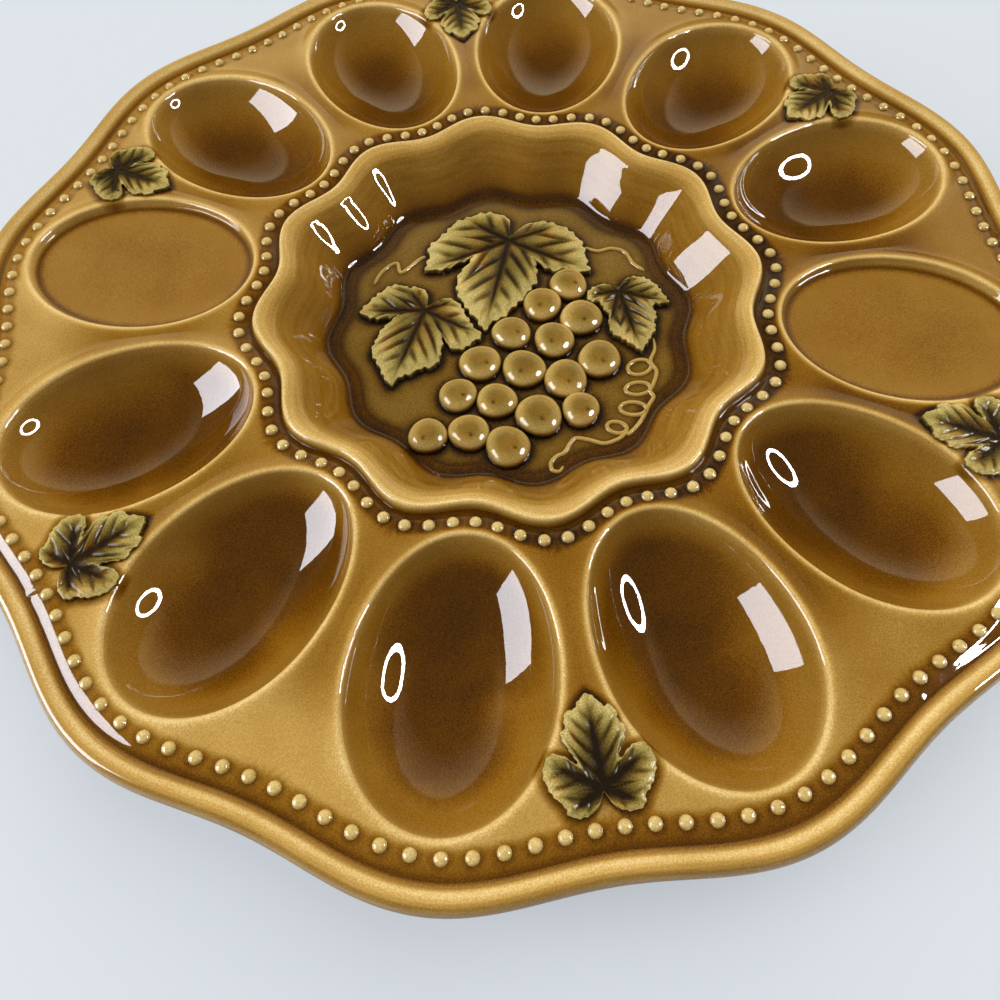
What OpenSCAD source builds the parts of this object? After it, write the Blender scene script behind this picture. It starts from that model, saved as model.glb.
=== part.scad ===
// Deviled egg platter in glazed earthenware, millimetres.
// The table is at z = 0, the centre of the platter is at x = y = 0,
// and +X runs through one of the two places for salt and pepper shakers.
// Twelve places lie round a fluted bowl: ten egg wells and two shaker places.
// The reliefs are separate sprigs that seat on the clay below them.

/* [Plate] */
// Thickness of the clay
clay_t = 5; // [4.2:0.1:5.4]
// Height of the clay under the wells over the table
lift = 3.5; // [2.5:0.1:6]
// How far the rim swings in and out of its mean circle
rim_wave = 2.6; // [1.5:0.1:3.4]

/* [Rim] */
// Width of the rounded roll along the edge
roll_w = 5.6; // [4.6:0.1:6.6]
// Height of the roll over the flat ring
roll_rise = 1.3; // [0.8:0.1:2]
// How far the clay at the edge hangs below the flat ring
roll_drop = 5.4; // [4.8:0.1:6.4]
// Width of the groove inside the roll
groove_w = 2.4; // [1.8:0.1:3]
// Depth of the groove inside the roll
groove_d = 0.7; // [0.3:0.1:1.2]

/* [Centre bowl] */
// Mean radius of the bowl's floor
floor_r = 54.5; // [50:0.1:60]
// How far the edge of the floor swings in and out
floor_wave = 1.6; // [0.8:0.1:2.2]
// Depth of the floor below the flat ring
floor_depth = 14.3; // [13:0.1:15.5]
// How far the bowl's wall runs outwards from its floor to its lip
wall_run = 12.8; // [11:0.1:15]
// Width of the rounded top of the lip
lip_w = 4.6; // [3.6:0.1:5.4]
// Height of the lip over the flat ring
lip_rise = 1.9; // [1:0.1:2.6]
// How far the lip and the beads round it swing in and out
lip_wave = 2.5; // [1.5:0.1:3]

/* [Foot] */
// How far the foot ring reaches out past the edge of the bowl's floor
foot_out = 4.5; // [3.5:0.1:5.2]
// Width of the foot ring
foot_w = 6; // [4:0.5:8]
// Slope of the foot ring's corners
foot_bevel = 1; // [0.4:0.1:1.4]

/* [Egg wells] */
// Length of a well, along the platter's radius
well_l = 68.2; // [60:0.1:76]
// Width of a well
well_w = 48.6; // [44:0.1:49.4]
// Depth of a well below the flat ring
well_depth = 15; // [13:0.1:17]
// How far out the widest place of the egg lies from its middle
well_skew = 3; // [0.5:0.1:5]
// Width of the raised edge round a well
well_edge_w = 1.5; // [0.8:0.1:1.8]
// Height of the raised edge round a well
well_edge_h = 0.5; // [0.3:0.1:0.8]

/* [Shaker places] */
// How much nearer to its middle than a well's the end of a shaker place lies
shaker_inset = 0.3; // [0:0.1:4]
// Width of a shaker place
shaker_w = 49; // [44:0.1:50]
// Depth of a shaker place
shaker_depth = 2.6; // [1.6:0.1:3.4]

/* [Beads] */
// Diameter of a bead at its base
bead_d = 3.4; // [2.8:0.1:3.8]
// Height of a bead
bead_h = 1.3; // [0.8:0.1:1.4]
// Room between the groove round the lip and the row of beads outside it
lip_bead_gap = 0.78; // [0.5:0.01:1.4]
// Room between a row of beads and the raised edge of a well
well_bead_gap = 0.5; // [0.3:0.1:1.2]
// Room between the outer row of beads and the rim's groove
rim_bead_gap = 1.2; // [0.6:0.1:2]

/* [Rim leaves] */
// Length of a rim leaf from its stem to its tip
rim_leaf_l = 19.8; // [16:0.1:20.6]
// Height of a rim leaf
rim_leaf_h = 1.9; // [1.2:0.1:2.6]
// Room between a rim leaf's lobes and the outer row of beads
rim_leaf_gap = 2; // [1.4:0.1:3]

/* [Vine relief] */
// Height of the vine leaves
vine_leaf_h = 2.4; // [1.6:0.1:3.2]
// Height of a grape
grape_h = 3.8; // [2.8:0.1:4.4]

/* [Hidden] */

// Colours of the glaze
amber = [0.62, 0.42, 0.13];
pale_amber = [0.86, 0.71, 0.42];
leaf_green = [0.55, 0.55, 0.27];
grape_olive = [0.62, 0.52, 0.27];

// Counts of what goes round the platter
lobe_count = 12;
lobe_angle = 360 / lobe_count;
shaker_every = 6;
leaf_count = 6;
beads_in_bowl_lobe = 7;
beads_in_rim_lobe = 12;
stations_in_lobe = 8;
station_count = lobe_count * stations_in_lobe;

// Overrun of a cutting shape past the face that it cuts
over = 1;

// Heights that follow from the sizes above: the wells' clay hangs clear of the table
pod_t = clay_t * 0.9;
field_z = lift + pod_t + well_depth;
floor_z = field_z - floor_depth;
under_z = field_z - clay_t;

// Radii from the bowl's floor outwards: lip, beads, wells, beads, groove and rim.
// They add up to a platter 320 mm across.
lip_r = floor_r + wall_run + lip_w / 2;
lip_foot_r = lip_r + lip_w * 0.7;
bowl_row_r = lip_foot_r + groove_d + lip_bead_gap + bead_d / 2;
bead_to_well = bead_d / 2 + well_bead_gap + well_edge_w;
place_r = bowl_row_r - lip_wave + bead_to_well + well_l / 2;
rim_row_r = place_r + well_l / 2 + bead_to_well - rim_wave;
groove_r = rim_row_r + bead_d / 2 + rim_bead_gap;
rim_r = groove_r + groove_w + roll_w;

// The lobes beside a rim leaf's stem reach back by this share of its length
leaf_back_share = 0.21;
leaf_stem_r = rim_row_r - rim_wave - bead_d / 2 - rim_leaf_gap - rim_leaf_l * leaf_back_share;

// A point's radius on a wavy ring: the places lie on its bulges where the wave is positive
function wavy(r, wave, a) = r + wave * cos(lobe_count * a);

// A point of a wavy ring, where a row holds a radius, a wave and a height
function ring_point(row, a) = [wavy(row[0], row[1], a) * cos(a), wavy(row[0], row[1], a) * sin(a), row[2]];

// Radius of the sphere cap that has a given base radius and height
function cap_radius(base_r, h) = (base_r * base_r + h * h) / (2 * h);

// Points of a line through the given ones, rounded between them
function spline(p, n) = [
    for (i = [0 : len(p) - 2], k = [0 : n - 1])
        blend(p[max(i - 1, 0)], p[i], p[i + 1], p[min(i + 2, len(p) - 1)], k / n),
    p[len(p) - 1]
];
function blend(a, b, c, d, t) =
    b + (c - a) * t / 2 + (2 * a - 5 * b + 4 * c - d) * t * t / 2 + (3 * b - a - 3 * c + d) * t * t * t / 2;

// A closed solid whose skin runs from a middle point on top, down over the rows to one underneath
module wavy_loft(top_z, rows, bottom_z) {
    n = station_count;
    last = len(rows) * n + 1;
    points = [
        [0, 0, top_z],
        for (row = rows, k = [0 : n - 1]) ring_point(row, k * 360 / n),
        [0, 0, bottom_z]
    ];
    faces = [
        for (k = [0 : n - 1]) [0, 1 + (k + 1) % n, 1 + k],
        for (i = [0 : len(rows) - 2], k = [0 : n - 1]) each [
            [1 + i * n + k, 1 + i * n + (k + 1) % n, 1 + (i + 1) * n + k],
            [1 + i * n + (k + 1) % n, 1 + (i + 1) * n + (k + 1) % n, 1 + (i + 1) * n + k]
        ],
        for (k = [0 : n - 1]) [last - n + k, last - n + (k + 1) % n, last]
    ];
    polyhedron(points = points, faces = faces, convexity = 8);
}

// The rows of the body's skin, from the bowl's floor outwards over the rim and back underneath.
// Each row holds a radius, a wave and a height.
slope_wave = lip_wave - floor_wave;
roll_mid_r = rim_r - roll_w / 2;
bowl_rows = [
    [floor_r - clay_t * 0.3, -floor_wave, floor_z],
    [floor_r + clay_t * 0.1, -floor_wave, floor_z + floor_depth * 0.03],
    [floor_r + wall_run * 0.18, -floor_wave - slope_wave * 0.1, floor_z + floor_depth * 0.13],
    [floor_r + wall_run * 0.55, -floor_wave - slope_wave * 0.5, floor_z + floor_depth * 0.5],
    [lip_r - lip_w * 0.5, -lip_wave, field_z - lip_rise * 0.6],
    [lip_r - lip_w * 0.28, -lip_wave, field_z + lip_rise * 0.62],
    [lip_r, -lip_wave, field_z + lip_rise],
    [lip_r + lip_w * 0.26, -lip_wave, field_z + lip_rise * 0.78],
    [lip_r + lip_w * 0.42, -lip_wave, field_z],
    [lip_r + lip_w * 0.5, -lip_wave, field_z - groove_d],
    [lip_foot_r, -lip_wave, field_z - groove_d * 0.8],
    [lip_foot_r + groove_d, -lip_wave, field_z]
];
rim_rows = [
    [groove_r, rim_wave, field_z],
    [groove_r + groove_w * 0.4, rim_wave, field_z - groove_d],
    [groove_r + groove_w * 0.9, rim_wave, field_z - groove_d],
    [rim_r - roll_w * 0.98, rim_wave, field_z + roll_rise * 0.3],
    [rim_r - roll_w * 0.84, rim_wave, field_z + roll_rise * 0.85],
    [roll_mid_r, rim_wave, field_z + roll_rise],
    [rim_r - roll_w * 0.22, rim_wave, field_z + roll_rise * 0.45],
    [rim_r - roll_w * 0.06, rim_wave, field_z - roll_rise * 0.6],
    [rim_r, rim_wave, field_z - roll_drop * 0.42],
    [rim_r - roll_w * 0.08, rim_wave, field_z - roll_drop * 0.76],
    [rim_r - roll_w * 0.3, rim_wave, field_z - roll_drop * 0.96],
    [rim_r - roll_w * 0.6, rim_wave, field_z - roll_drop],
    [groove_r - groove_w, rim_wave, under_z]
];
under_rows = [
    [lip_r + lip_w + clay_t * 0.6, -lip_wave, under_z],
    [lip_r + clay_t * 0.5, -lip_wave, under_z - clay_t * 0.4],
    [floor_r + wall_run * 0.45 + clay_t * 0.6, -floor_wave - slope_wave * 0.4, floor_z + floor_depth * 0.1],
    [floor_r + clay_t, -floor_wave, floor_z - clay_t * 0.6],
    [floor_r + clay_t * 0.4, -floor_wave, floor_z - clay_t]
];

// The egg of a well: its widest section is a circle about the long axis, which lies over the platter
egg_r = cap_radius(well_w / 2, well_depth);
egg_axis_z = field_z + egg_r - well_depth;
egg_stretch = egg_r / (well_w / 2);
egg_inner_half = (well_l / 2 + well_skew) * egg_stretch;
egg_outer_half = (well_l / 2 - well_skew) * egg_stretch;

// Half steps of the egg's profile from one end to its widest place
egg_steps = 9;

// A solid egg with its long axis along X over a well's place
module egg(grow) {
    inner_l = egg_inner_half + grow;
    outer_l = egg_outer_half + grow;
    half_w = egg_r + grow;
    step = 90 / egg_steps;
    translate([place_r + well_skew, 0, egg_axis_z])
        rotate([0, 90, 0])
            rotate_extrude($fn = 64)
                polygon([
                    for (k = [0 : egg_steps]) [half_w * sin(k * step), -inner_l * cos(k * step)],
                    for (k = [egg_steps - 1 : -1 : 0]) [half_w * sin(k * step), outer_l * cos(k * step)]
                ]);
}

// The outline of a well at the level of the flat ring, widened all round.
// Its points keep half a step off the platter's radius, where the skin has edges.
outline_steps = 48;
module egg_outline(grow) {
    step = 360 / outline_steps;
    inner_l = well_l / 2 + well_skew + grow;
    outer_l = well_l / 2 - well_skew + grow;
    translate([place_r + well_skew, 0])
        polygon([
            for (k = [0.5 : outline_steps])
                [(cos(k * step) > 0 ? outer_l : inner_l) * cos(k * step), (well_w / 2 + grow) * sin(k * step)]
        ]);
}

module at_wells() {
    for (i = [0 : lobe_count - 1])
        if (i % shaker_every != 0)
            rotate(i * lobe_angle) children();
}

module at_shakers() {
    for (i = [0 : shaker_every : lobe_count - 1])
        rotate(i * lobe_angle) children();
}

// The clay under a well, kept below the face of the flat ring
module well_pod() {
    difference() {
        egg(pod_t);
        translate([0, -place_r / 2, field_z - clay_t / 2]) cube([rim_r, place_r, rim_r]);
    }
}

module well_edge() {
    translate([0, 0, field_z - clay_t / 4])
        linear_extrude(height = clay_t / 4 + well_edge_h)
            egg_outline(well_edge_w);
}

module shaker_place(grow, low, high) {
    translate([place_r, 0, low])
        linear_extrude(height = high - low)
            scale([well_l / 2 - shaker_inset + grow, shaker_w / 2 + grow]) circle(r = 1, $fn = 96);
}

module foot_ring() {
    outer = floor_r + foot_out;
    inner = outer - foot_w;
    top = floor_z - clay_t / 2;
    rotate_extrude($fn = 120)
        polygon([
            [inner + foot_bevel, 0],
            [outer - foot_bevel, 0],
            [outer, foot_bevel],
            [outer, top],
            [inner, top],
            [inner, foot_bevel]
        ]);
}

module platter_body() {
    color(amber)
        difference() {
            union() {
                wavy_loft(floor_z, concat(bowl_rows, rim_rows, under_rows), floor_z - clay_t);
                foot_ring();
                at_wells() well_pod();
                at_wells() well_edge();
                at_shakers() shaker_place(clay_t * 0.6, under_z - shaker_depth, field_z - clay_t / 2);
            }
            at_wells() egg(0);
            at_shakers() shaker_place(0, field_z - shaker_depth, field_z + over);
        }
}

// A dome of a given base diameter and height that stands on z = 0, a slice of a true sphere
module dome(d, h) {
    r = cap_radius(d / 2, h);
    intersection() {
        translate([0, 0, h - r]) sphere(r = r, $fn = 48);
        translate([-r, -r, 0]) cube([2 * r, 2 * r, h + over]);
    }
}

module bead_row(r, wave, beads_in_lobe) {
    count = beads_in_lobe * lobe_count;
    start = beads_in_lobe % 2 == 0 ? 0.5 : 0;
    for (k = [0 : count - 1]) {
        a = (k + start) * 360 / count;
        translate([wavy(r, wave, a) * cos(a), wavy(r, wave, a) * sin(a), field_z]) dome(bead_d, bead_h);
    }
}

module bowl_bead_row() {
    color(pale_amber) bead_row(bowl_row_r, -lip_wave, beads_in_bowl_lobe);
}

module rim_bead_row() {
    color(pale_amber) bead_row(rim_row_r, rim_wave, beads_in_rim_lobe);
}

// Vine leaves. A table holds the outline from the tip round to the tip again: each entry is
// a bearing in degrees from the leaf's middle vein and a reach as a share of the leaf's length.
rim_leaf_shares = [
    [0, 1], [6, 0.94], [11, 0.86], [16, 0.88], [21, 0.82], [24, 0.73], [30, 0.71], [34, 0.6],
    [35, 0.45], [39, 0.36], [44, 0.42], [45, 0.54], [50, 0.64], [60, 0.67], [71, 0.65], [84, 0.58],
    [97, 0.5], [107, 0.45], [117, 0.46], [128, 0.42], [141, 0.32], [155, 0.2], [170, 0.05],
    [190, 0.05], [205, 0.2], [219, 0.32], [232, 0.42], [243, 0.46], [253, 0.45], [263, 0.5],
    [276, 0.58], [289, 0.65], [300, 0.67], [310, 0.64], [315, 0.54], [316, 0.42], [321, 0.36],
    [325, 0.45], [326, 0.6], [330, 0.71], [336, 0.73], [339, 0.82], [344, 0.88], [349, 0.86], [354, 0.94]
];
large_leaf_shares = [
    [0, 1], [4, 0.9], [9, 0.85], [14, 0.76], [19, 0.7], [25, 0.64], [33, 0.56], [40, 0.52],
    [47, 0.42], [56, 0.34], [58, 0.46], [62, 0.55], [67, 0.58], [71, 0.7], [75, 0.79], [80, 0.74],
    [90, 0.69], [101, 0.64], [112, 0.57], [124, 0.49], [138, 0.38], [150, 0.26], [165, 0.06],
    [186, 0.06], [190, 0.24], [203, 0.31], [218, 0.38], [234, 0.43], [247, 0.48], [259, 0.54],
    [270, 0.57], [280, 0.64], [287, 0.71], [297, 0.73], [306, 0.79], [311, 0.66], [312, 0.52],
    [313, 0.4], [316, 0.4], [321, 0.5], [326, 0.62], [333, 0.71], [340, 0.78], [348, 0.85], [354, 0.91]
];
left_leaf_shares = [
    [0, 1], [4, 0.88], [11, 0.82], [18, 0.75], [26, 0.74], [32, 0.69], [37, 0.58], [42, 0.5],
    [47, 0.38], [49, 0.46], [50, 0.6], [58, 0.66], [68, 0.67], [79, 0.7], [85, 0.57], [97, 0.46],
    [112, 0.4], [130, 0.35], [146, 0.26], [160, 0.07], [182, 0.07], [191, 0.2], [202, 0.28],
    [216, 0.34], [229, 0.37], [237, 0.46], [248, 0.52], [262, 0.56], [275, 0.61], [288, 0.69],
    [296, 0.6], [301, 0.45], [302, 0.32], [312, 0.42], [321, 0.56], [328, 0.66], [334, 0.77],
    [342, 0.81], [350, 0.89], [355, 0.95]
];
right_leaf_shares = [
    [0, 1], [6, 0.92], [13, 0.84], [21, 0.77], [26, 0.68], [35, 0.62], [46, 0.5], [53, 0.53],
    [60, 0.67], [70, 0.6], [84, 0.53], [98, 0.47], [112, 0.4], [128, 0.32], [143, 0.2], [160, 0.07],
    [190, 0.07], [220, 0.15], [234, 0.27], [250, 0.37], [266, 0.44], [280, 0.42], [289, 0.33],
    [302, 0.34], [316, 0.39], [327, 0.44], [331, 0.6], [338, 0.72], [346, 0.78], [352, 0.85], [356, 0.92]
];
// Bearings of the five main veins of each kind of leaf
rim_leaf_veins = [0, 60, 117, 243, 300];
large_leaf_veins = [0, 75, 124, 247, 306];
left_leaf_veins = [0, 79, 130, 229, 288];
right_leaf_veins = [0, 60, 128, 266, 331];

// How high the leaf swells between veins, from a low share along a vein to 1 well away from it
vein_floor_share = 0.45;
vein_spread = 20;
function turn_between(a, b) = abs((a - b + 540) % 360 - 180);
function swell(a, veins) =
    vein_floor_share + (1 - vein_floor_share) * min(1, min([for (v = veins) turn_between(a, v)]) / vein_spread);

// Rings of a leaf, from its edge inwards: the share of the reach and the share of the height
leaf_ring_shares = [[1, 0], [0.97, 0.6], [0.86, 0.95], [0.55, 1], [0.25, 0.8]];

// A leaf on z = 0 with its stem at the middle and its tip towards +X
module leaf(shares, veins, length, h) {
    n = len(shares);
    rings = len(leaf_ring_shares);
    last = rings * n;
    points = [
        for (ring = leaf_ring_shares, s = shares)
            let (
                reach = s[1] * ring[0] * length,
                high = ring[1] * h * (ring[1] > 0 ? swell(s[0], veins) : 1)
            )
            [reach * cos(s[0]), reach * sin(s[0]), high],
        [0, 0, h * vein_floor_share / 2],
        [0, 0, 0]
    ];
    faces = [
        for (i = [0 : rings - 2], k = [0 : n - 1]) each [
            [i * n + k, (i + 1) * n + k, i * n + (k + 1) % n],
            [i * n + (k + 1) % n, (i + 1) * n + k, (i + 1) * n + (k + 1) % n]
        ],
        for (k = [0 : n - 1]) [(rings - 1) * n + k, last, (rings - 1) * n + (k + 1) % n],
        for (k = [0 : n - 1]) [k, (k + 1) % n, last + 1]
    ];
    polyhedron(points = points, faces = faces, convexity = 8);
}

// A rim leaf lies between two wells, and its side lobes lap over the wells' raised edges
module rim_leaf(i) {
    color(leaf_green)
        difference() {
            rotate((i - 0.5) * 360 / leaf_count + lobe_angle / 2)
                translate([leaf_stem_r, 0, field_z])
                    rotate(180) leaf(rim_leaf_shares, rim_leaf_veins, rim_leaf_l, rim_leaf_h);
            at_wells() well_edge();
        }
}

// The relief on the bowl's floor grows with it: places and lengths are shares of its radius.
// A vine leaf has its stem's place east and north, and its length.
large_leaf_place_shares = [-0.08, 0.59, 0.664];
left_leaf_place_shares = [-0.49, 0.02, 0.525];
right_leaf_place_shares = [0.59, 0.28, 0.424];
large_leaf_turn = -95;
left_leaf_turn = -101;
right_leaf_turn = -70;

module vine_leaf(place, turn, shares, veins) {
    color(leaf_green)
        translate([place[0] * floor_r, place[1] * floor_r, floor_z])
            rotate(turn) leaf(shares, veins, place[2] * floor_r, vine_leaf_h);
}

// Grapes: place east and north and diameter, each as a share of the radius of the bowl's floor
grape_shares = [
    [0.3, 0.3, 0.2],
    [0.165, 0.14, 0.205],
    [0.39, 0.07, 0.22],
    [0.015, -0.08, 0.2],
    [0.255, -0.1, 0.21],
    [0.51, -0.2, 0.22],
    [-0.13, -0.3, 0.21],
    [0.11, -0.31, 0.22],
    [0.34, -0.35, 0.22],
    [-0.22, -0.52, 0.19],
    [-0.01, -0.53, 0.2],
    [0.22, -0.595, 0.23],
    [0.435, -0.535, 0.19],
    [-0.34, -0.785, 0.19],
    [-0.13, -0.74, 0.2],
    [0.08, -0.8, 0.22]
];

module grape(i) {
    g = grape_shares[i - 1];
    color(grape_olive)
        translate([g[0] * floor_r, g[1] * floor_r, floor_z]) dome(g[2] * floor_r, grape_h);
}

// A tendril: a low ridge, round on top, that follows a line on the bowl's floor.
// The line's points are shares of the floor's radius, chosen by eye.
ridge_shares = [[-0.5, 0], [-0.42, 0.5], [0, 0.75], [0.42, 0.5], [0.5, 0]];
tendril_w_share = 0.024;
tendril_w = floor_r * tendril_w_share;
tendril_left_shares = [[-0.82, 0.2], [-0.79, 0.3], [-0.72, 0.37], [-0.68, 0.3], [-0.6, 0.4], [-0.56, 0.44]];
tendril_right_shares = [[0.37, 0.61], [0.45, 0.59], [0.53, 0.62], [0.61, 0.6], [0.66, 0.52], [0.73, 0.47]];
curl_spine_shares = [
    [0.81, 0], [0.81, -0.08], [0.84, -0.2], [0.81, -0.34], [0.79, -0.48], [0.69, -0.6], [0.58, -0.69],
    [0.48, -0.68], [0.4, -0.71], [0.36, -0.79], [0.31, -0.845], [0.345, -0.88], [0.375, -0.855]
];
// Loops along the curl: place, half length, half width and turn
curl_loop_shares = [
    [0.73, -0.2, 0.1, 0.055, 20],
    [0.72, -0.355, 0.09, 0.05, 10],
    [0.67, -0.5, 0.09, 0.05, 0],
    [0.6, -0.62, 0.065, 0.04, -10]
];
loop_steps = 20;

// Direction of a line at one of its points
function heading(p, i, closed) =
    let (
        n = len(p),
        before = closed ? p[(i + n - 1) % n] : p[max(i - 1, 0)],
        after = closed ? p[(i + 1) % n] : p[min(i + 1, n - 1)]
    )
    (after - before) / norm(after - before);

module ridge(line, width, closed) {
    n = len(line);
    m = len(ridge_shares);
    links = closed ? n - 1 : n - 2;
    points = [
        for (i = [0 : n - 1])
            let (d = heading(line, i, closed))
            for (s = ridge_shares)
                [line[i][0] + d[1] * s[0] * width, line[i][1] - d[0] * s[0] * width, s[1] * width]
    ];
    faces = [
        for (i = [0 : links], k = [0 : m - 1])
            let (a = i * m, b = ((i + 1) % n) * m, next = (k + 1) % m)
            each [[a + k, b + k, a + next], [a + next, b + k, b + next]],
        if (!closed) for (k = [1 : m - 2]) [0, k, k + 1],
        if (!closed) for (k = [1 : m - 2]) [(n - 1) * m, (n - 1) * m + k + 1, (n - 1) * m + k]
    ];
    polyhedron(points = points, faces = faces, convexity = 8);
}

function on_floor(shares) = [for (s = shares) [s[0] * floor_r, s[1] * floor_r]];

function loop_line(s) = [
    for (k = [0 : loop_steps - 1])
        let (
            a = k * 360 / loop_steps,
            east = s[2] * cos(a),
            north = s[3] * sin(a)
        )
        [
            (s[0] + east * cos(s[4]) - north * sin(s[4])) * floor_r,
            (s[1] + east * sin(s[4]) + north * cos(s[4])) * floor_r
        ]
];

module tendril(shares) {
    color(pale_amber)
        translate([0, 0, floor_z]) ridge(spline(on_floor(shares), 4), tendril_w, false);
}

module tendril_curl() {
    color(pale_amber)
        translate([0, 0, floor_z]) {
            ridge(spline(on_floor(curl_spine_shares), 4), tendril_w, false);
            for (s = curl_loop_shares) ridge(loop_line(s), tendril_w, true);
        }
}

platter_body();
bowl_bead_row();
rim_bead_row();
rim_leaf(1);  // rim_leaf_1
rim_leaf(2);  // rim_leaf_2
rim_leaf(3);  // rim_leaf_3
rim_leaf(4);  // rim_leaf_4
rim_leaf(5);  // rim_leaf_5
rim_leaf(6);  // rim_leaf_6
vine_leaf(large_leaf_place_shares, large_leaf_turn, large_leaf_shares, large_leaf_veins);  // vine_leaf_large
vine_leaf(left_leaf_place_shares, left_leaf_turn, left_leaf_shares, left_leaf_veins);  // vine_leaf_left
vine_leaf(right_leaf_place_shares, right_leaf_turn, right_leaf_shares, right_leaf_veins);  // vine_leaf_right
grape(1);  // grape_01
grape(2);  // grape_02
grape(3);  // grape_03
grape(4);  // grape_04
grape(5);  // grape_05
grape(6);  // grape_06
grape(7);  // grape_07
grape(8);  // grape_08
grape(9);  // grape_09
grape(10);  // grape_10
grape(11);  // grape_11
grape(12);  // grape_12
grape(13);  // grape_13
grape(14);  // grape_14
grape(15);  // grape_15
grape(16);  // grape_16
tendril(tendril_left_shares);  // tendril_left
tendril(tendril_right_shares);  // tendril_right
tendril_curl();
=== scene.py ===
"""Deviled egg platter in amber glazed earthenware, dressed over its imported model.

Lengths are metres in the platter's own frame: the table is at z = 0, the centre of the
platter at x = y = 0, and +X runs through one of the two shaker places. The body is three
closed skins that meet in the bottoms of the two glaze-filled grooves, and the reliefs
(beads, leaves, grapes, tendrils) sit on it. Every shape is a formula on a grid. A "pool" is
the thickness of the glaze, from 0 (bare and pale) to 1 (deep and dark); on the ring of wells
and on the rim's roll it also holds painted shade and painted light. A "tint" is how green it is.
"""

import logging
import math
from dataclasses import dataclass, replace
from enum import Enum
from typing import Callable

import bpy
import numpy as np
from mathutils import Matrix


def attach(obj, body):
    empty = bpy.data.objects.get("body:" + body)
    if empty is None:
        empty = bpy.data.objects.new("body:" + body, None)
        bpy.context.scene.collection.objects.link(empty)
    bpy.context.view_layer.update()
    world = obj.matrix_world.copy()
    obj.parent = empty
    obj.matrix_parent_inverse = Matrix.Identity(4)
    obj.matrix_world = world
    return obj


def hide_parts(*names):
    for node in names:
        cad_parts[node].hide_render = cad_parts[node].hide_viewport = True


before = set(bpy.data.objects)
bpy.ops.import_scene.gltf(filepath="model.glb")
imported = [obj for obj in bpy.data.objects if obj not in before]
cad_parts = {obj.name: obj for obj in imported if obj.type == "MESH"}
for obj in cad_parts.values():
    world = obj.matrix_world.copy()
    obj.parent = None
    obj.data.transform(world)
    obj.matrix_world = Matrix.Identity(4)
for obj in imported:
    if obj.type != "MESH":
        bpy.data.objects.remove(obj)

log = logging.getLogger("egg_platter")

Array = np.ndarray
Point = tuple[float, float, float]
Colour = tuple[float, float, float, float]
Stops = list[tuple[float, Colour]]
MM = 0.001
TURN = 2 * math.pi
# An edge that bends by more stays sharp, and points that lie closer are one
SHARP_DEG = 50
WELD_M = 1e-6


class Glaze(Enum):
    """The finishes of the platter and the record's material slot of each."""

    AMBER = "amber_glaze"
    RAISED = "raised_glaze"
    LEAF = "leaf_glaze"
    GRAPE = "grape_glaze"


def srgb(red: float, green: float, blue: float) -> Colour:
    """Turn a colour as seen on a screen into the linear colour that Blender works in.

    A share c of full brightness becomes c / 12.92 up to 0.04045, and
    ((c + 0.055) / 1.055)^2.4 above it.

    Args:
        red: red from 0 to 255.
        green: green from 0 to 255.
        blue: blue from 0 to 255.

    Returns:
        The linear colour with an alpha of 1.
    """
    share = np.array([red, green, blue]) / 255
    linear = np.where(share <= 0.04045, share / 12.92, ((share + 0.055) / 1.055) ** 2.4)
    return (*linear.tolist(), 1.0)


def smooth_step(low: float, high: float, value: Array) -> Array:
    """Rise from 0 at low to 1 at high by the cubic 3t^2 - 2t^3."""
    t = np.clip((value - low) / (high - low), 0, 1)
    return t * t * (3 - 2 * t)


def smooth_min(a: Array, b: Array, blend: float) -> Array:
    """The lower of two heights, rounded where they are near each other.

    With h = 0.5 + 0.5 (b - a) / blend kept between 0 and 1, the result is
    h a + (1 - h) b - blend h (1 - h).

    Args:
        a: heights.
        b: other heights.
        blend: how near they are where the rounding starts.

    Returns:
        The rounded lower heights.
    """
    h = np.clip(0.5 + 0.5 * (b - a) / blend, 0, 1)
    return h * a + (1 - h) * b - blend * h * (1 - h)


def bump(offset: Array, width: float) -> Array:
    """A bell of height 1 that falls off with the square of offset over width."""
    return np.exp(-((offset / width) ** 2))


def spline_rows(knots: Array, steps: int) -> Array:
    """Carry a rounded line through the knots, with one cubic for each stretch between two.

    Between b and c, with a before and d after them, and t from 0 to 1, the line is
    b + (c - a) t / 2 + (2a - 5b + 4c - d) t^2 / 2 + (3b - a - 3c + d) t^3 / 2.

    Args:
        knots: the points, one per row, each with any number of values.
        steps: rows made for each stretch between two knots.

    Returns:
        The line's rows, from the first knot to the last.
    """
    before = np.vstack([knots[:1], knots[:-2]])
    after = np.vstack([knots[2:], knots[-1:]])
    t = (np.arange(steps) / steps)[None, :, None]
    a, b, c, d = (v[:, None, :] for v in (before, knots[:-1], knots[1:], after))
    square, cube = 2 * a - 5 * b + 4 * c - d, 3 * b - a - 3 * c + d
    line = b + (c - a) * t / 2 + square * t**2 / 2 + cube * t**3 / 2
    return np.vstack([line.reshape(-1, knots.shape[1]), knots[-1:]])


def streaks(row: Array, bearing: Array) -> Array:
    """Lengthwise streaks from -1 to 1, as glaze leaves them on a moulded edge.

    Args:
        row: number of the profile's row, as a column.
        bearing: bearings round the platter.

    Returns:
        (sin(2.1 row + d) + sin(0.9 row - 1.7 d + 2)) / 2, where d drifts with the bearing b
        as 1.3 sin(5 b) + 0.9 sin(11 b + 1).
    """
    drift = 1.3 * np.sin(5 * bearing) + 0.9 * np.sin(11 * bearing + 1)
    return (np.sin(2.1 * row + drift) + np.sin(0.9 * row - 1.7 * drift + 2)) / 2


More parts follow.
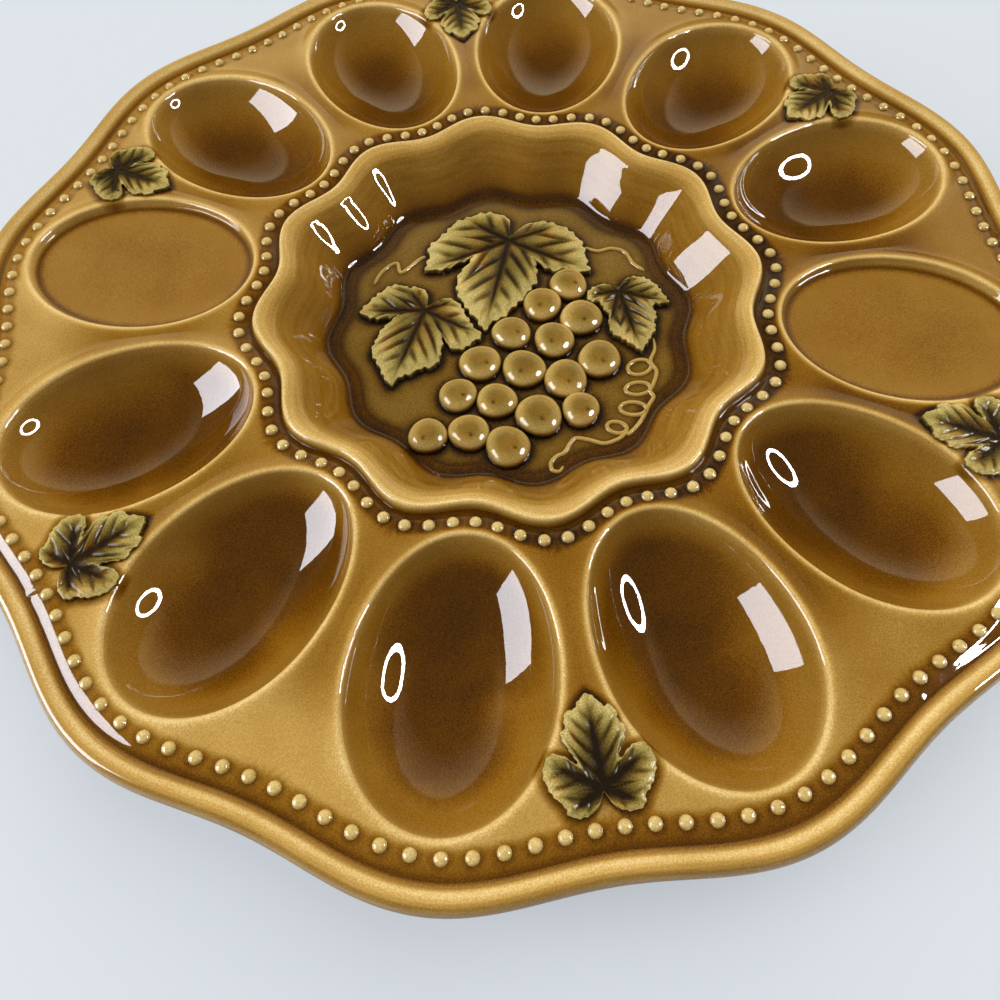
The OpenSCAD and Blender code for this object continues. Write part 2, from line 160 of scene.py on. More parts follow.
def nearest(points: Array, targets: Array) -> Array:
    """Distance in plan from each point to the nearest of the targets.

    Args:
        points: rows of x and y.
        targets: rows of x and y.

    Returns:
        One distance for each point.
    """
    chunk = 4000
    parts = [
        np.sqrt(((points[i : i + chunk, None, :2] - targets[None, :, :2]) ** 2).sum(-1)).min(1)
        for i in range(0, len(points), chunk)
    ]
    return np.concatenate(parts)


def polar(radius: Array, at: Array, z: float | Array) -> Array:
    """Points from radii, bearings and heights that share one grid or spread over it."""
    x, y = radius * np.cos(at), radius * np.sin(at)
    return np.stack([x, y, np.broadcast_to(z, x.shape)], -1)


def turned(points: Array, angle: float) -> Array:
    """Turn points about the platter's axis, counterclockwise seen from above."""
    c, s = math.cos(angle), math.sin(angle)
    return points @ np.array([[c, s, 0], [-s, c, 0], [0, 0, 1]])


def round_bearings(count: int) -> Array:
    """Evenly spaced bearings round a full turn, from 0."""
    return np.arange(count) / count * TURN


def grid_quads(rings: int, around: int, wrap: bool = False) -> Array:
    """Faces of a grid of points whose rows are closed rings.

    Args:
        rings: number of rings.
        around: points round a ring.
        wrap: whether the last ring meets the first.

    Returns:
        Four point numbers for each face, outwards where counterclockwise rings follow each
        other from the top down.
    """
    index = np.arange(rings * around).reshape(rings, around)
    if wrap:
        index = np.vstack([index, index[:1]])
    beside = np.roll(index, -1, axis=1)
    return np.stack([index[:-1], index[1:], beside[1:], beside[:-1]], -1).reshape(-1, 4)


@dataclass
class Skin:
    """A mesh in the making: points, faces, and pool and tint at each point."""

    points: Array
    quads: Array
    triangles: Array
    pool: Array
    tint: Array

    @staticmethod
    def join(skins: list["Skin"]) -> "Skin":
        """Put several skins into one, without welding them.

        Args:
            skins: the skins in order.

        Returns:
            One skin with all their points and faces.
        """
        starts = np.cumsum([0] + [len(s.points) for s in skins[:-1]])
        return Skin(
            np.vstack([s.points for s in skins]),
            np.vstack([s.quads + k for s, k in zip(skins, starts)]),
            np.vstack([s.triangles + k for s, k in zip(skins, starts)]),
            np.concatenate([s.pool for s in skins]),
            np.concatenate([s.tint for s in skins]),
        )

    def welded(self) -> "Skin":
        """Merge points that lie within a micrometre, so that borders close.

        Returns:
            The same skin with each place held once.
        """
        key = np.round(self.points / WELD_M).astype(np.int64)
        _, first, to_new = np.unique(key, axis=0, return_index=True, return_inverse=True)
        new = to_new.ravel()
        return Skin(
            self.points[first], new[self.quads], new[self.triangles], self.pool[first], self.tint[first]
        )


def fan(around: int, pole: int, ring: Array) -> Array:
    """Triangles from a pole to a ring of point numbers, counterclockwise with the ring."""
    return np.stack([np.full(around, pole), ring, np.roll(ring, -1)], -1)


def ring_skin(rows: Array, pool: Array, tint: Array | float = 0.0) -> Skin:
    """Close a stack of rings into a solid, with one pole before the first and one after the last.

    Args:
        rows: grid of points, rings by places round the ring; the first and the last ring
            shrink to the pole that their mean gives.
        pool: thickness of the glaze on the same grid.
        tint: green of the glaze on the same grid, or one value for all.

    Returns:
        The closed skin, with its faces outwards where the rings run counterclockwise
        from the top down.
    """
    count, around = rows.shape[:2]
    total = count * around
    points = np.vstack([rows.reshape(-1, 3), rows[0].mean(0), rows[-1].mean(0)])
    first = fan(around, total, np.arange(around))
    last = fan(around, total + 1, np.arange(total - around, total))[:, [0, 2, 1]]

    def with_poles(values: Array) -> Array:
        """The grid's values in one row, and the mean of its first and of its last ring."""
        return np.concatenate([values.ravel(), [values[0].mean(), values[-1].mean()]])

    tints = np.broadcast_to(tint, pool.shape)
    triangles = np.vstack([first, last])
    return Skin(points, grid_quads(count, around), triangles, with_poles(pool), with_poles(tints))


def mesh_object(
    name: str, points: Array, faces: list[list[int]], finish: bpy.types.Material
) -> bpy.types.Object:
    """Make an object of points and faces and put it into the scene.

    Args:
        name: name of the object.
        points: rows of x, y and z.
        faces: point numbers of each face.
        finish: its material.

    Returns:
        The new object.
    """
    mesh = bpy.data.meshes.new(name)
    mesh.from_pydata(points.tolist(), [], faces)
    mesh.materials.append(finish)
    thing = bpy.data.objects.new(name, mesh)
    bpy.context.scene.collection.objects.link(thing)
    return thing


def add_piece(
    name: str, skin: Skin, replaced: list[str], finish: bpy.types.Material
) -> None:
    """Make a piece of a skin, give it its finish and set it on the platter.

    Args:
        name: name of the piece.
        skin: its points, faces and glaze.
        replaced: CAD nodes that the piece stands for.
        finish: the material.
    """
    faces = [*skin.quads.tolist(), *skin.triangles.tolist()]
    piece = mesh_object(name, skin.points, faces, finish)
    mesh = piece.data
    mesh.validate()
    for label, values in (("pool", skin.pool), ("tint", skin.tint)):
        attribute = mesh.attributes.new(label, "FLOAT", "POINT")
        attribute.data.foreach_set("value", values.astype(np.float32))
    mesh.shade_smooth()
    mesh.set_sharp_from_angle(angle=math.radians(SHARP_DEG))
    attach(piece, "root")
    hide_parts(*replaced)
    log.info("%s: %d points, %d faces", name, len(skin.points), len(faces))


@dataclass(frozen=True)
class PlatterForm:
    """Sizes that the whole platter shares, and the wave that its rings follow."""

    lobes: int = 12
    shaker_every: int = 6
    rim_leaves: int = 6
    bowl_row_beads: int = 7
    rim_row_beads: int = 12
    rim_r: float = 157.4 * MM
    rim_wave: float = 2.6 * MM
    field_z: float = 23 * MM
    groove_d: float = 0.8 * MM
    groove_w: float = 1.5 * MM
    rim_groove_w: float = 2.2 * MM
    bowl_groove_r: float = 72.5 * MM
    bowl_wave: float = 2.5 * MM
    rim_groove_r: float = 151.0 * MM
    bowl_row_r: float = 76 * MM
    rim_row_r: float = 146.5 * MM
    clay_t: float = 5 * MM
    floor_r: float = 54.5 * MM
    floor_z: float = 8.7 * MM

    @property
    def sector(self) -> float:
        """Angle of one place round the bowl."""
        return TURN / self.lobes

    def wavy(self, radius: float | Array, wave: float | Array, bearing: Array) -> Array:
        """Radius of a ring that swings by wave times the cosine of lobes times the bearing."""
        return radius + wave * np.cos(self.lobes * bearing)

    def inner_groove(self, bearing: Array) -> Array:
        """Radius of the bottom of the groove round the bowl's lip."""
        return self.wavy(self.bowl_groove_r, -self.bowl_wave, bearing)

    def outer_groove(self, bearing: Array) -> Array:
        """Radius of the bottom of the groove inside the rim's roll."""
        return self.wavy(self.rim_groove_r, self.rim_wave, bearing)


@dataclass(frozen=True)
class Hollow:
    """A hollow of the ring: an egg well or a shaker place, in its place's own frame."""

    centre: float
    half_in: float
    half_out: float
    half_w: float
    depth: float
    power: float
    edge_h: float
    edge_at: float
    edge_w: float
    rounding: float
    # Darkness of the floor: pooled glaze, and in an egg well also painted shade and painted dark reflection
    floor_pool_and_shade: float
    pool_foot: float
    flare: float = 1.8

    def reach(self, bearing: Array) -> Array:
        """Distance from the centre to the outline: half an ellipse inwards and one outwards."""
        half = np.where(np.cos(bearing) > 0, self.half_out, self.half_in)
        return 1 / np.sqrt((np.cos(bearing) / half) ** 2 + (np.sin(bearing) / self.half_w) ** 2)

    def height(self, reach: Array, outside: Array) -> Array:
        """Height of the top skin over the flat ring.

        Args:
            reach: distance from the centre to the outline along the point's ray.
            outside: how far the point lies outside the outline; negative inside.

        Returns:
            The lower of the bowl, -depth (1 - s^2)^power, and the raised edge, rounded
            where they meet. Outside the outline the bowl rises by flare.
        """
        s = np.clip(1 + np.minimum(outside, 0) / reach, 0, 1)
        bowl = -self.depth * (1 - s * s) ** self.power + self.flare * np.maximum(outside, 0)
        edge = self.edge_h * np.where(outside < self.edge_at, 1, bump(outside - self.edge_at, self.edge_w))
        return smooth_min(bowl, edge, self.rounding)


EGG_WELL = Hollow(
    centre=114.3 * MM, half_in=37.1 * MM, half_out=31.1 * MM, half_w=24.3 * MM, depth=15.4 * MM, power=0.72,
    edge_h=0.65 * MM, edge_at=1.1 * MM, edge_w=3.2 * MM, rounding=1.4 * MM, floor_pool_and_shade=0.88, pool_foot=0.0,
)
SHAKER_PLACE = Hollow(
    centre=111.3 * MM, half_in=33.8 * MM, half_out=33.8 * MM, half_w=24.5 * MM, depth=2.5 * MM, power=0.12,
    edge_h=0.5 * MM, edge_at=1.3 * MM, edge_w=2.4 * MM, rounding=1.0 * MM, floor_pool_and_shade=0.6, pool_foot=0.34,
)


@dataclass(frozen=True)
class RingGlaze:
    """How dark the glaze is on the ring of wells: mostly its thickness, with painted shade and painted light
    in places.

    A pair named band holds the two places between which a value grows from nothing to
    full: shares of the way from a hollow's middle to its outline, radii, or distances from
    a row of beads. A value named after a side of the platter counts in full on that side
    and not at all on the opposite one.
    """

    # On a hollow's wall, and painted light that leaves the floor's sides paler: both sides in the north, the
    # east side in the south
    wall: float = 0.55
    wall_band: tuple[float, float] = (0.97, 0.3)
    painted_light_north: float = 0.2
    painted_light_southeast: float = 0.5
    thin_band: tuple[float, float] = (0.1, 0.5)
    # Painted shade: how far the floor's dark climbs the wall towards the bowl, and in the south also towards
    # the rim
    painted_shade_in: float = 0.5
    painted_shade_in_south: float = 0.45
    painted_shade_in_band: tuple[float, float] = (0.98, 0.8)
    painted_shade_out_south: float = 0.6
    painted_shade_out_band: tuple[float, float] = (0.85, 0.6)
    # Between the hollows. The east value is painted shade: darker to the east and paler to the west, as the
    # light from the west falls off
    flat: float = 0.61
    painted_shade_east: float = 0.1
    neck_north: float = 0.12
    full_south_power: int = 6
    neck_band: tuple[float, float] = (84 * MM, 96 * MM)
    rimward: float = 0.22
    rimward_south: float = 0.1
    rimward_band: tuple[float, float] = (112 * MM, 134 * MM)
    # More beside the rows of beads
    bowl_row: float = 0.26
    bowl_row_band: tuple[float, float] = (3.2 * MM, 1.3 * MM)
    rim_row: float = 0.05
    rim_row_south: float = 0.31
    rim_row_band: tuple[float, float] = (-3.0 * MM, -0.4 * MM)
    # Where a line of thick glaze runs at the foot of a wall
    foot_at: float = -1.4 * MM
    foot_w: float = 1.1 * MM
    # On the raised edge, and how much less lies about it
    edge: float = 0.16
    edge_at: float = 0.7 * MM
    edge_w: float = 1.0 * MM
    halo: float = 0.08
    halo_at: float = 1.5 * MM
    halo_w: float = 3.0 * MM
    # In the grooves
    inner_groove: float = 0.9
    inner_groove_w: float = 1.7 * MM
    outer_groove: float = 0.86
    outer_groove_w: float = 1.5 * MM


@dataclass
class WellRing:
    """The flat ring with ten egg wells and two shaker places: top skin, hidden skin and walls."""

    form: PlatterForm
    look: RingGlaze = RingGlaze()
    arc_in: int = 40
    arc_out: int = 52
    side: int = 30
    inside_rings: int = 20
    inside_power: float = 0.9
    edge_rings: int = 9
    outside_rings: int = 15
    edge_band: float = 4.2 * MM
    skin_t: float = 1.5 * MM
    hidden_inside: tuple[float, ...] = (0.3, 0.6, 0.8, 0.93, 1.0)
    hidden_outside: tuple[float, ...] = (0.5, 1.0)
    wall_pool: float = 0.9

    def border(self) -> Array:
        """Points round one place's border, counterclockwise: two wavy grooves and two straight sides.

        Returns:
            Rows of x and y in the place's own frame.
        """
        form, half = self.form, self.form.sector / 2
        out_at = np.linspace(-half, half, self.arc_out, endpoint=False)
        in_at = np.linspace(half, -half, self.arc_in, endpoint=False)
        share = np.arange(self.side) / self.side
        far, near = form.outer_groove(np.array(half)), form.inner_groove(np.array(half))
        radius = np.concatenate([
            form.outer_groove(out_at), far + (near - far) * share,
            form.inner_groove(in_at), near + (far - near) * share,
        ])
        sides = np.full(self.side, half)
        bearing = np.concatenate([out_at, sides, in_at, -sides])
        return polar(radius, bearing, 0.0)[:, :2]

    def place(self, hollow: Hollow, top: bool, facing: float) -> Skin:
        """One place of the ring as a polar grid about its hollow's centre.

        Each ray runs from the centre to the border. Its points are spaced by the sine of the
        share of the way up to the hollow's outline, evenly over the raised edge beyond it, and
        evenly again from there to the border.

        Args:
            hollow: the egg well or the shaker place.
            top: the fine top skin, or the coarse hidden one skin_t below it.
            facing: bearing of the place on the platter.

        Returns:
            The open skin, whose border matches its neighbours' and the other skin's.
        """
        form = self.form
        ray = self.border() - [hollow.centre, 0]
        far = np.hypot(ray[:, 0], ray[:, 1])
        bearing = np.arctan2(ray[:, 1], ray[:, 0])
        grow = 0.0 if top else self.skin_t
        reach = hollow.reach(bearing)
        if top:
            inner = np.sin(np.linspace(0, math.pi / 2, self.inside_rings + 1)[1:]) ** self.inside_power
            band = np.linspace(0, self.edge_band, self.edge_rings + 1)[1:]
            rest = np.linspace(0, 1, self.outside_rings + 1)[1:]
        else:
            inner = np.array(self.hidden_inside)
            band = np.array([self.edge_band - grow])
            rest = np.array(self.hidden_outside)
        start = reach + grow + band[-1]
        away = np.vstack([
            inner[:, None] * (reach + grow),
            reach + grow + band[:, None],
            start + rest[:, None] * (far - start),
        ])
        x = hollow.centre + away * np.cos(bearing)
        y = away * np.sin(bearing)
        outside = away - reach - grow
        z = form.field_z + hollow.height(reach + grow, outside) - grow
        radius, at = np.hypot(x, y), np.arctan2(y, x)
        z = z - form.groove_d * bump(radius - form.inner_groove(at), form.groove_w)
        z = z - form.groove_d * bump(radius - form.outer_groove(at), form.rim_groove_w)
        way = np.broadcast_to(bearing, away.shape)
        pool = self.pool(hollow, reach + grow, outside, way, radius, at, facing)
        return self.open_grid(np.stack([x, y, z], -1), pool, hollow, top)

    def pool(
        self, hollow: Hollow, reach: Array, outside: Array, way: Array, radius: Array, at: Array,
        facing: float,
    ) -> Array:
        """Glaze on the ring: thin on the raised edges, thick in the grooves and the wells' floors, with
        painted shade and painted light added.

        Args:
            hollow: the egg well or the shaker place.
            reach: distance from the centre to the outline.
            outside: distance outside the outline.
            way: bearing about the hollow's centre, 0 outwards.
            radius: distance from the platter's axis.
            at: bearing about the platter's axis from the middle of the place.
            facing: bearing of the place on the platter.

        Returns:
            The pool at each point.
        """
        form, look = self.form, self.look
        east, south = np.cos(at + facing), 0.5 - 0.5 * np.sin(at + facing)
        s = np.clip(1 + np.minimum(outside, 0) / reach, 0, 1)
        inwards, outwards = np.clip(-np.cos(way), 0, 1), np.clip(np.cos(way), 0, 1)
        # Painted light: the floor's sides paler, both sides in the north and the east side in the south
        thin = look.painted_light_north * (1 - south)
        thin = thin + look.painted_light_southeast * south * np.clip(np.cos(way + facing), 0, 1)
        thin = thin * np.sin(way) ** 2 * smooth_step(*look.thin_band, s)
        floor = hollow.floor_pool_and_shade
        inside = look.wall + (floor - look.wall) * smooth_step(*look.wall_band, s) * (1 - thin)
        # Painted shade: the floor's dark climbs the wall towards the bowl, and in the south also towards the
        # rim
        climb = (look.painted_shade_in + look.painted_shade_in_south * south) * inwards * smooth_step(*look.painted_shade_in_band, s)
        climb = climb + look.painted_shade_out_south * south * outwards * smooth_step(*look.painted_shade_out_band, s)
        # Darker from the necks outwards except to the south, then paler towards the rim, most to the south
        neck = look.neck_north * (1 - south**look.full_south_power) * smooth_step(*look.neck_band, radius)
        rimward = look.rimward + look.rimward_south * south
        neck = neck - rimward * smooth_step(*look.rimward_band, radius)
        row_in = radius - form.wavy(form.bowl_row_r, -form.bowl_wave, at)
        row_out = radius - form.wavy(form.rim_row_r, form.rim_wave, at)
        # Painted shade: the field darker to the east and paler to the west
        flat = look.flat + look.painted_shade_east * east + neck
        flat = flat + look.bowl_row * smooth_step(*look.bowl_row_band, row_in)
        # Darker beside the rim's row of beads, most to the south
        beside_rim = look.rim_row + look.rim_row_south * south
        flat = flat + beside_rim * smooth_step(*look.rim_row_band, row_out)
        pool = np.where(outside < 0, inside + (floor - inside) * climb, flat)
        pool = pool + hollow.pool_foot * bump(outside - look.foot_at, look.foot_w)
        pool = pool - (pool - look.edge) * bump(outside - look.edge_at, look.edge_w)
        pool = pool - look.halo * bump(outside - look.halo_at, look.halo_w)
        for groove, width, depth in (
            (form.inner_groove(at), look.inner_groove_w, look.inner_groove),
            (form.outer_groove(at), look.outer_groove_w, look.outer_groove),
        ):
            pool = pool + (depth - pool) * bump(radius - groove, width)
        return pool

    def open_grid(self, rows: Array, pool: Array, hollow: Hollow, top: bool) -> Skin:
        """Faces for a polar grid with a pole at its middle, open at its border.

        Args:
            rows: rings by rays of points, from the middle outwards.
            pool: thickness of the glaze on the same grid.
            hollow: gives the pole's place.
            top: faces look up where true, down where false.

        Returns:
            The open skin.
        """
        count, around = rows.shape[:2]
        drop = hollow.depth + (0 if top else self.skin_t)
        points = np.vstack([rows.reshape(-1, 3), [hollow.centre, 0, self.form.field_z - drop]])
        quads = grid_quads(count, around)
        middle = fan(around, count * around, np.arange(around))
        if not top:
            quads, middle = quads[:, ::-1], middle[:, ::-1]
        values = np.append(pool.ravel(), hollow.floor_pool_and_shade)
        return Skin(points, quads, middle, values, np.zeros(len(values)))

    def walls(self) -> list[Skin]:
        """The two short walls that close the ring between its top skin and the hidden one.

        Returns:
            One skin for each groove.
        """
        form = self.form
        skins = []
        for count, groove, outwards in (
            (self.arc_out, form.outer_groove, True), (self.arc_in, form.inner_groove, False),
        ):
            at = (np.arange(count * form.lobes) / count - 0.5) * form.sector
            upper = polar(groove(at), at, form.field_z - form.groove_d)
            points = np.vstack([upper, upper - [0, 0, self.skin_t]])
            quads = grid_quads(2, len(at))
            quads = quads if outwards else quads[:, ::-1]
            pool = np.full(len(points), self.wall_pool)
            skins.append(Skin(points, quads, np.zeros((0, 3), int), pool, np.zeros(len(points))))
        return skins

    def build(self) -> Skin:
        """Set the twelve places round the platter and weld their borders.

        Returns:
            One closed skin.
        """
        form = self.form
        skins = self.walls()
        for k in range(form.lobes):
            hollow = SHAKER_PLACE if k % form.shaker_every == 0 else EGG_WELL
            for top in (True, False):
                skin = self.place(hollow, top, k * form.sector)
                skin.points = turned(skin.points, k * form.sector)
                skins.append(skin)
        return Skin.join(skins).welded()


@dataclass
class CentreBowl:
    """The fluted bowl: floor, wall and rounded lip, down to the bottom of the groove outside it."""

    form: PlatterForm
    around: int = 576
    floor_rows: int = 74
    knot_steps: int = 4
    floor_wave: float = 1.6 * MM
    lip_r: float = 69.6 * MM
    lip_rise: float = 1.9 * MM
    lip_w: float = 4.6 * MM
    # The hidden back of the bowl
    hidden_pool: float = 0.9
    hidden_t: float = 1.2 * MM
    hidden_foot: tuple[float, float] = (6 * MM, 1.5 * MM)
    hidden_floor_share: float = 0.4
    hidden_mid_share: float = 0.5
    # Rows at either end of the profile that have no streaks
    lip_streaks: tuple[int, int] = (24, 16)
    streak: float = 0.05
    # The glaze on the floor: flat, near the relief, near the tendrils and at its edge
    floor_tint: float = 0.6
    floor_pool_flat: float = 0.55
    near_relief: tuple[tuple[float, float], ...] = ((0.46, 1.7 * MM), (0.14, 3.8 * MM))
    near_line: tuple[float, float] = (0.16, 1.7 * MM)
    edge_pool: float = 0.9
    edge_at: float = 3.4 * MM
    edge_w: float = 2.2 * MM

    def profile(self) -> Array:
        """Rows of radius, wave, height and glaze from the floor's edge over the lip to the groove.

        Returns:
            The rounded line through the knots below.
        """
        form = self.form
        low, top = form.floor_z, form.field_z
        foot, lip, rise, width = form.floor_r, self.lip_r, self.lip_rise, self.lip_w
        deep = top - low
        slope = lip - width / 2 - foot
        wave, swing = self.floor_wave, form.bowl_wave
        groove = form.bowl_groove_r
        knots = np.array([
            [foot - self.edge_at, -wave, low, self.edge_pool],
            [foot - 2.0 * MM, -wave, low, 0.94],
            [foot - 0.7 * MM, -wave, low + 0.05 * MM, 0.97],
            [foot + 0.4 * MM, -wave, low + deep * 0.05, 0.9],
            [foot + slope * 0.1, -wave - 0.2 * MM, low + deep * 0.15, 0.7],
            [foot + slope * 0.2, -wave - 0.4 * MM, low + deep * 0.29, 0.62],
            [foot + slope * 0.34, -wave - 0.5 * MM, low + deep * 0.456, 0.59],
            [foot + slope * 0.5, -wave - 0.45 * MM, low + deep * 0.627, 0.57],
            [foot + slope * 0.68, -wave - 0.35 * MM, low + deep * 0.803, 0.54],
            [foot + slope * 0.82, -wave - 0.35 * MM, low + deep * 0.93, 0.5],
            [foot + slope * 0.92, -wave - 0.45 * MM, top + rise * 0.11, 0.42],
            [foot + slope * 1.04, -wave - 0.65 * MM, top + rise * 0.5, 0.31],
            [lip - width * 0.2, -swing, top + rise * 0.68, 0.24],
            [lip + width * 0.08, -swing, top + rise * 0.88, 0.17],
            [lip + width * 0.28, -swing, top + rise, 0.04],
            [lip + width * 0.42, -swing, top + rise * 0.64, 0.2],
            [lip + width * 0.52, -swing, top, 0.55],
            [groove - width * 0.03, -swing, top - form.groove_d * 0.94, 0.88],
            [groove, -swing, top - form.groove_d, 0.9],
        ])
        return spline_rows(knots, self.knot_steps)

    def build(self, relief: Array, lines: Array) -> Skin:
        """Carry the profile round the wavy rings and close it underneath.

        The floor's rings shrink evenly to the middle, and their wave by the cube of that share.

        Args:
            relief: outline points of the leaves and grapes, where the glaze gathers.
            lines: points of the tendrils, beside which it gathers less.

        Returns:
            One closed skin.
        """
        form = self.form
        line = self.profile()
        n = self.floor_rows
        share = ((np.arange(n) + 0.5) / n)[:, None]
        end_r, end_wave = line[0, :2]
        level = np.full_like(share, form.floor_z)
        floor = np.hstack([share * end_r, share**3 * end_wave, level, np.zeros_like(share)])
        out, up = self.hidden_foot
        under_z = form.floor_z - form.clay_t * self.hidden_floor_share
        groove_z = form.field_z - form.groove_d - self.hidden_t
        back = np.array([
            [form.bowl_groove_r, -form.bowl_wave, groove_z, self.hidden_pool],
            [form.floor_r + out, -form.bowl_wave, form.floor_z + up, self.hidden_pool],
            [form.floor_r, -self.floor_wave, under_z, self.hidden_pool],
            [form.floor_r * self.hidden_mid_share, 0, under_z, self.hidden_pool],
        ])
        rows = np.vstack([floor, line, back])
        at = round_bearings(self.around)
        radius = form.wavy(rows[:, :1], rows[:, 1:2], at)
        points = polar(radius, at, rows[:, 2:3])
        pool = np.broadcast_to(rows[:, 3:4], radius.shape).copy()
        first, last = n + self.lip_streaks[0], n + len(line) - self.lip_streaks[1]
        pool[first:last] += self.streak * streaks(np.arange(first, last)[:, None], at)
        pool[:n] = self.floor_pool(points[:n, :, :2], radius[:n], at, relief, lines)
        tint = np.zeros_like(pool)
        tint[:n] = self.floor_tint
        return ring_skin(points, pool, tint)

    def floor_pool(self, plan: Array, radius: Array, at: Array, relief: Array, lines: Array) -> Array:
        """Glaze on the floor: dark round the relief and towards the floor's edge.

        Args:
            plan: x and y of the floor's grid.
            radius: distance from the axis on the same grid.
            at: bearings of the grid's columns.
            relief: outline points of the leaves and grapes.
            lines: points of the tendrils.

        Returns:
            The pool on the grid.
        """
        flat = plan.reshape(-1, 2)
        near = nearest(flat, relief).reshape(radius.shape)
        beside = nearest(flat, lines).reshape(radius.shape)
        edge = self.form.wavy(self.form.floor_r, -self.floor_wave, at) - radius
        pool = self.floor_pool_flat
        for depth, width in self.near_relief:
            pool = pool + depth * bump(near, width)
        depth, width = self.near_line
        pool = pool + depth * bump(beside, width)
        return pool + (self.edge_pool - pool) * bump(np.maximum(edge - self.edge_at, 0), self.edge_w)


@dataclass
class RimAndUnderside:
    """The rounded roll along the rim, and the whole underside with its pods and foot ring."""

    form: PlatterForm
    around: int = 600
    knot_steps: int = 4
    roll_w: float = 5.6 * MM
    roll_rise: float = 1.3 * MM
    roll_drop: float = 5.4 * MM
    foot_r: float = 59 * MM
    foot_w: float = 6 * MM
    hidden_t: float = 1.2 * MM
    hidden_pool: float = 0.9
    hidden_r_mm: tuple[tuple[float, float, float], ...] = ((20, 46, 25), (54, 92, 1.5), (94, 150, 2.5))
    under_rows: int = 56
    under_in: float = 1.6 * MM
    foot_gap: float = 1 * MM
    bevel: float = 1.2 * MM
    bevel_mid: float = 0.35 * MM
    # The underside of the bowl
    bowl_r: float = 61 * MM
    bowl_wave: float = 2 * MM
    bowl_slope: float = 1.15
    bowl_rounding: float = 4 * MM
    # The pods under the wells and shaker places
    pod_out: float = 3.6 * MM
    pod_t_share: float = 0.9
    pod_power: float = 0.7
    pod_rise: float = 20 * MM
    pod_rounding: float = 2.5 * MM
    shaker_pod_d: float = 0.3 * MM
    wave_from: float = 100 * MM
    # The glaze underneath: thicker where the clay hangs lower, and none where the foot ring stands
    under_pool: tuple[float, float] = (0.5, 0.25)
    under_pool_band: tuple[float, float] = (18 * MM, 6 * MM)
    foot_pool: float = 0.6
    bare_pool: float = 0.1
    bare_rows: tuple[int, int] = (3, 7)
    streak: float = 0.07
    streak_bands: tuple[tuple[float, float], ...] = ((0.1, 0.3), (0.78, 0.66))

    def roll(self) -> Array:
        """Rows of radius, wave, height and glaze from the groove over the roll to the clay below it.

        Returns:
            The rounded line through the knots below.
        """
        form = self.form
        top, edge = form.field_z, form.rim_r
        w, rise, drop = self.roll_w, self.roll_rise, self.roll_drop
        # Pale where the glaze is thin over the roll; palest on its inner slope, below the crest, as painted
        # light from the north
        knots = np.array([
            [form.rim_groove_r, top - form.groove_d, 0.82],
            [edge - w * 0.98, top - form.groove_d * 0.45, 0.52],
            [edge - w * 0.84, top + rise * 0.2, 0.12],
            [edge - w * 0.68, top + rise * 0.7, 0.14],
            [edge - w * 0.48, top + rise, 0.29],
            [edge - w * 0.27, top + rise * 0.7, 0.4],
            [edge - w * 0.1, top - rise * 0.2, 0.41],
            [edge, top - drop * 0.36, 0.5],
            [edge - w * 0.06, top - drop * 0.7, 0.66],
            [edge - w * 0.3, top - drop * 0.94, 0.7],
            [edge - w * 0.6, top - drop, 0.66],
            [edge - w * 1.1, top - form.clay_t - 0.1 * MM, 0.58],
        ])
        return spline_rows(np.insert(knots, 1, form.rim_wave, axis=1), self.knot_steps)

    def foot_rows(self) -> Array:
        """Rows of radius and height down the outside of the foot ring, over it and in to the axis.

        Returns:
            The rows; the foot ring stands on the table.
        """
        foot, inner = self.foot_r, self.foot_r - self.foot_w
        bevel, mid = self.bevel, self.bevel_mid
        low = self.form.floor_z - self.form.clay_t
        return np.array([
            [foot + 0.4 * MM, low + 0.2 * MM],
            [foot, low - 0.6 * MM],
            [foot, bevel],
            [foot - mid, mid],
            [foot - bevel, 0],
            [inner + bevel, 0],
            [inner + mid, mid],
            [inner, bevel],
            [inner, low - 0.6 * MM],
            [inner - 0.8 * MM, low],
            [foot * 0.5, low],
            [foot * 0.1, low],
        ])

    def under_height(self, x: Array, y: Array) -> Array:
        """Height of the underside: the lower of the plate, the bowl and the pods, rounded together.

        A pod hangs below the clay by its hollow's depth times (1 - s^2)^pod_power, where s is
        the share of the way from its middle to its outline.

        Args:
            x: places along X.
            y: places along Y.

        Returns:
            Heights over the table, without the foot ring.
        """
        form = self.form
        radius, at = np.hypot(x, y), np.arctan2(y, x)
        plate = np.full_like(radius, form.field_z - form.clay_t)
        wall = radius - form.wavy(self.bowl_r, -self.bowl_wave, at)
        bowl = form.floor_z - form.clay_t + np.maximum(wall, 0) * self.bowl_slope
        height = smooth_min(plate, bowl, self.bowl_rounding)
        turn = np.round(at / form.sector)
        fold = at - turn * form.sector
        shaker = np.mod(turn, form.shaker_every) == 0
        u, v = radius * np.cos(fold), radius * np.sin(fold)
        for hollow, chosen in ((SHAKER_PLACE, shaker), (EGG_WELL, ~shaker)):
            du = u - hollow.centre
            reach = hollow.reach(np.arctan2(v, du)) + self.pod_out
            s = np.hypot(du, v) / reach
            deep = hollow.depth if hollow is EGG_WELL else hollow.depth + self.shaker_pod_d
            pod = form.field_z - form.clay_t * self.pod_t_share
            pod = pod - deep * np.clip(1 - s * s, 0, 1) ** self.pod_power
            pod = pod + np.maximum(s - 1, 0) * self.pod_rise
            height = np.where(chosen, smooth_min(height, pod, self.pod_rounding), height)
        return height

    def build(self) -> Skin:
        """One closed skin: hidden inner face, roll, underside, foot ring and the recess inside it.

        Returns:
            The closed skin.
        """
        form = self.form
        at = round_bearings(self.around)
        roll, ring = self.roll(), self.foot_rows()
        end_r = roll[-1, 0]
        hidden_r = np.concatenate([np.arange(*span) for span in self.hidden_r_mm]) * MM
        under_r = np.linspace(end_r - self.under_in, self.foot_r + self.foot_gap, self.under_rows)

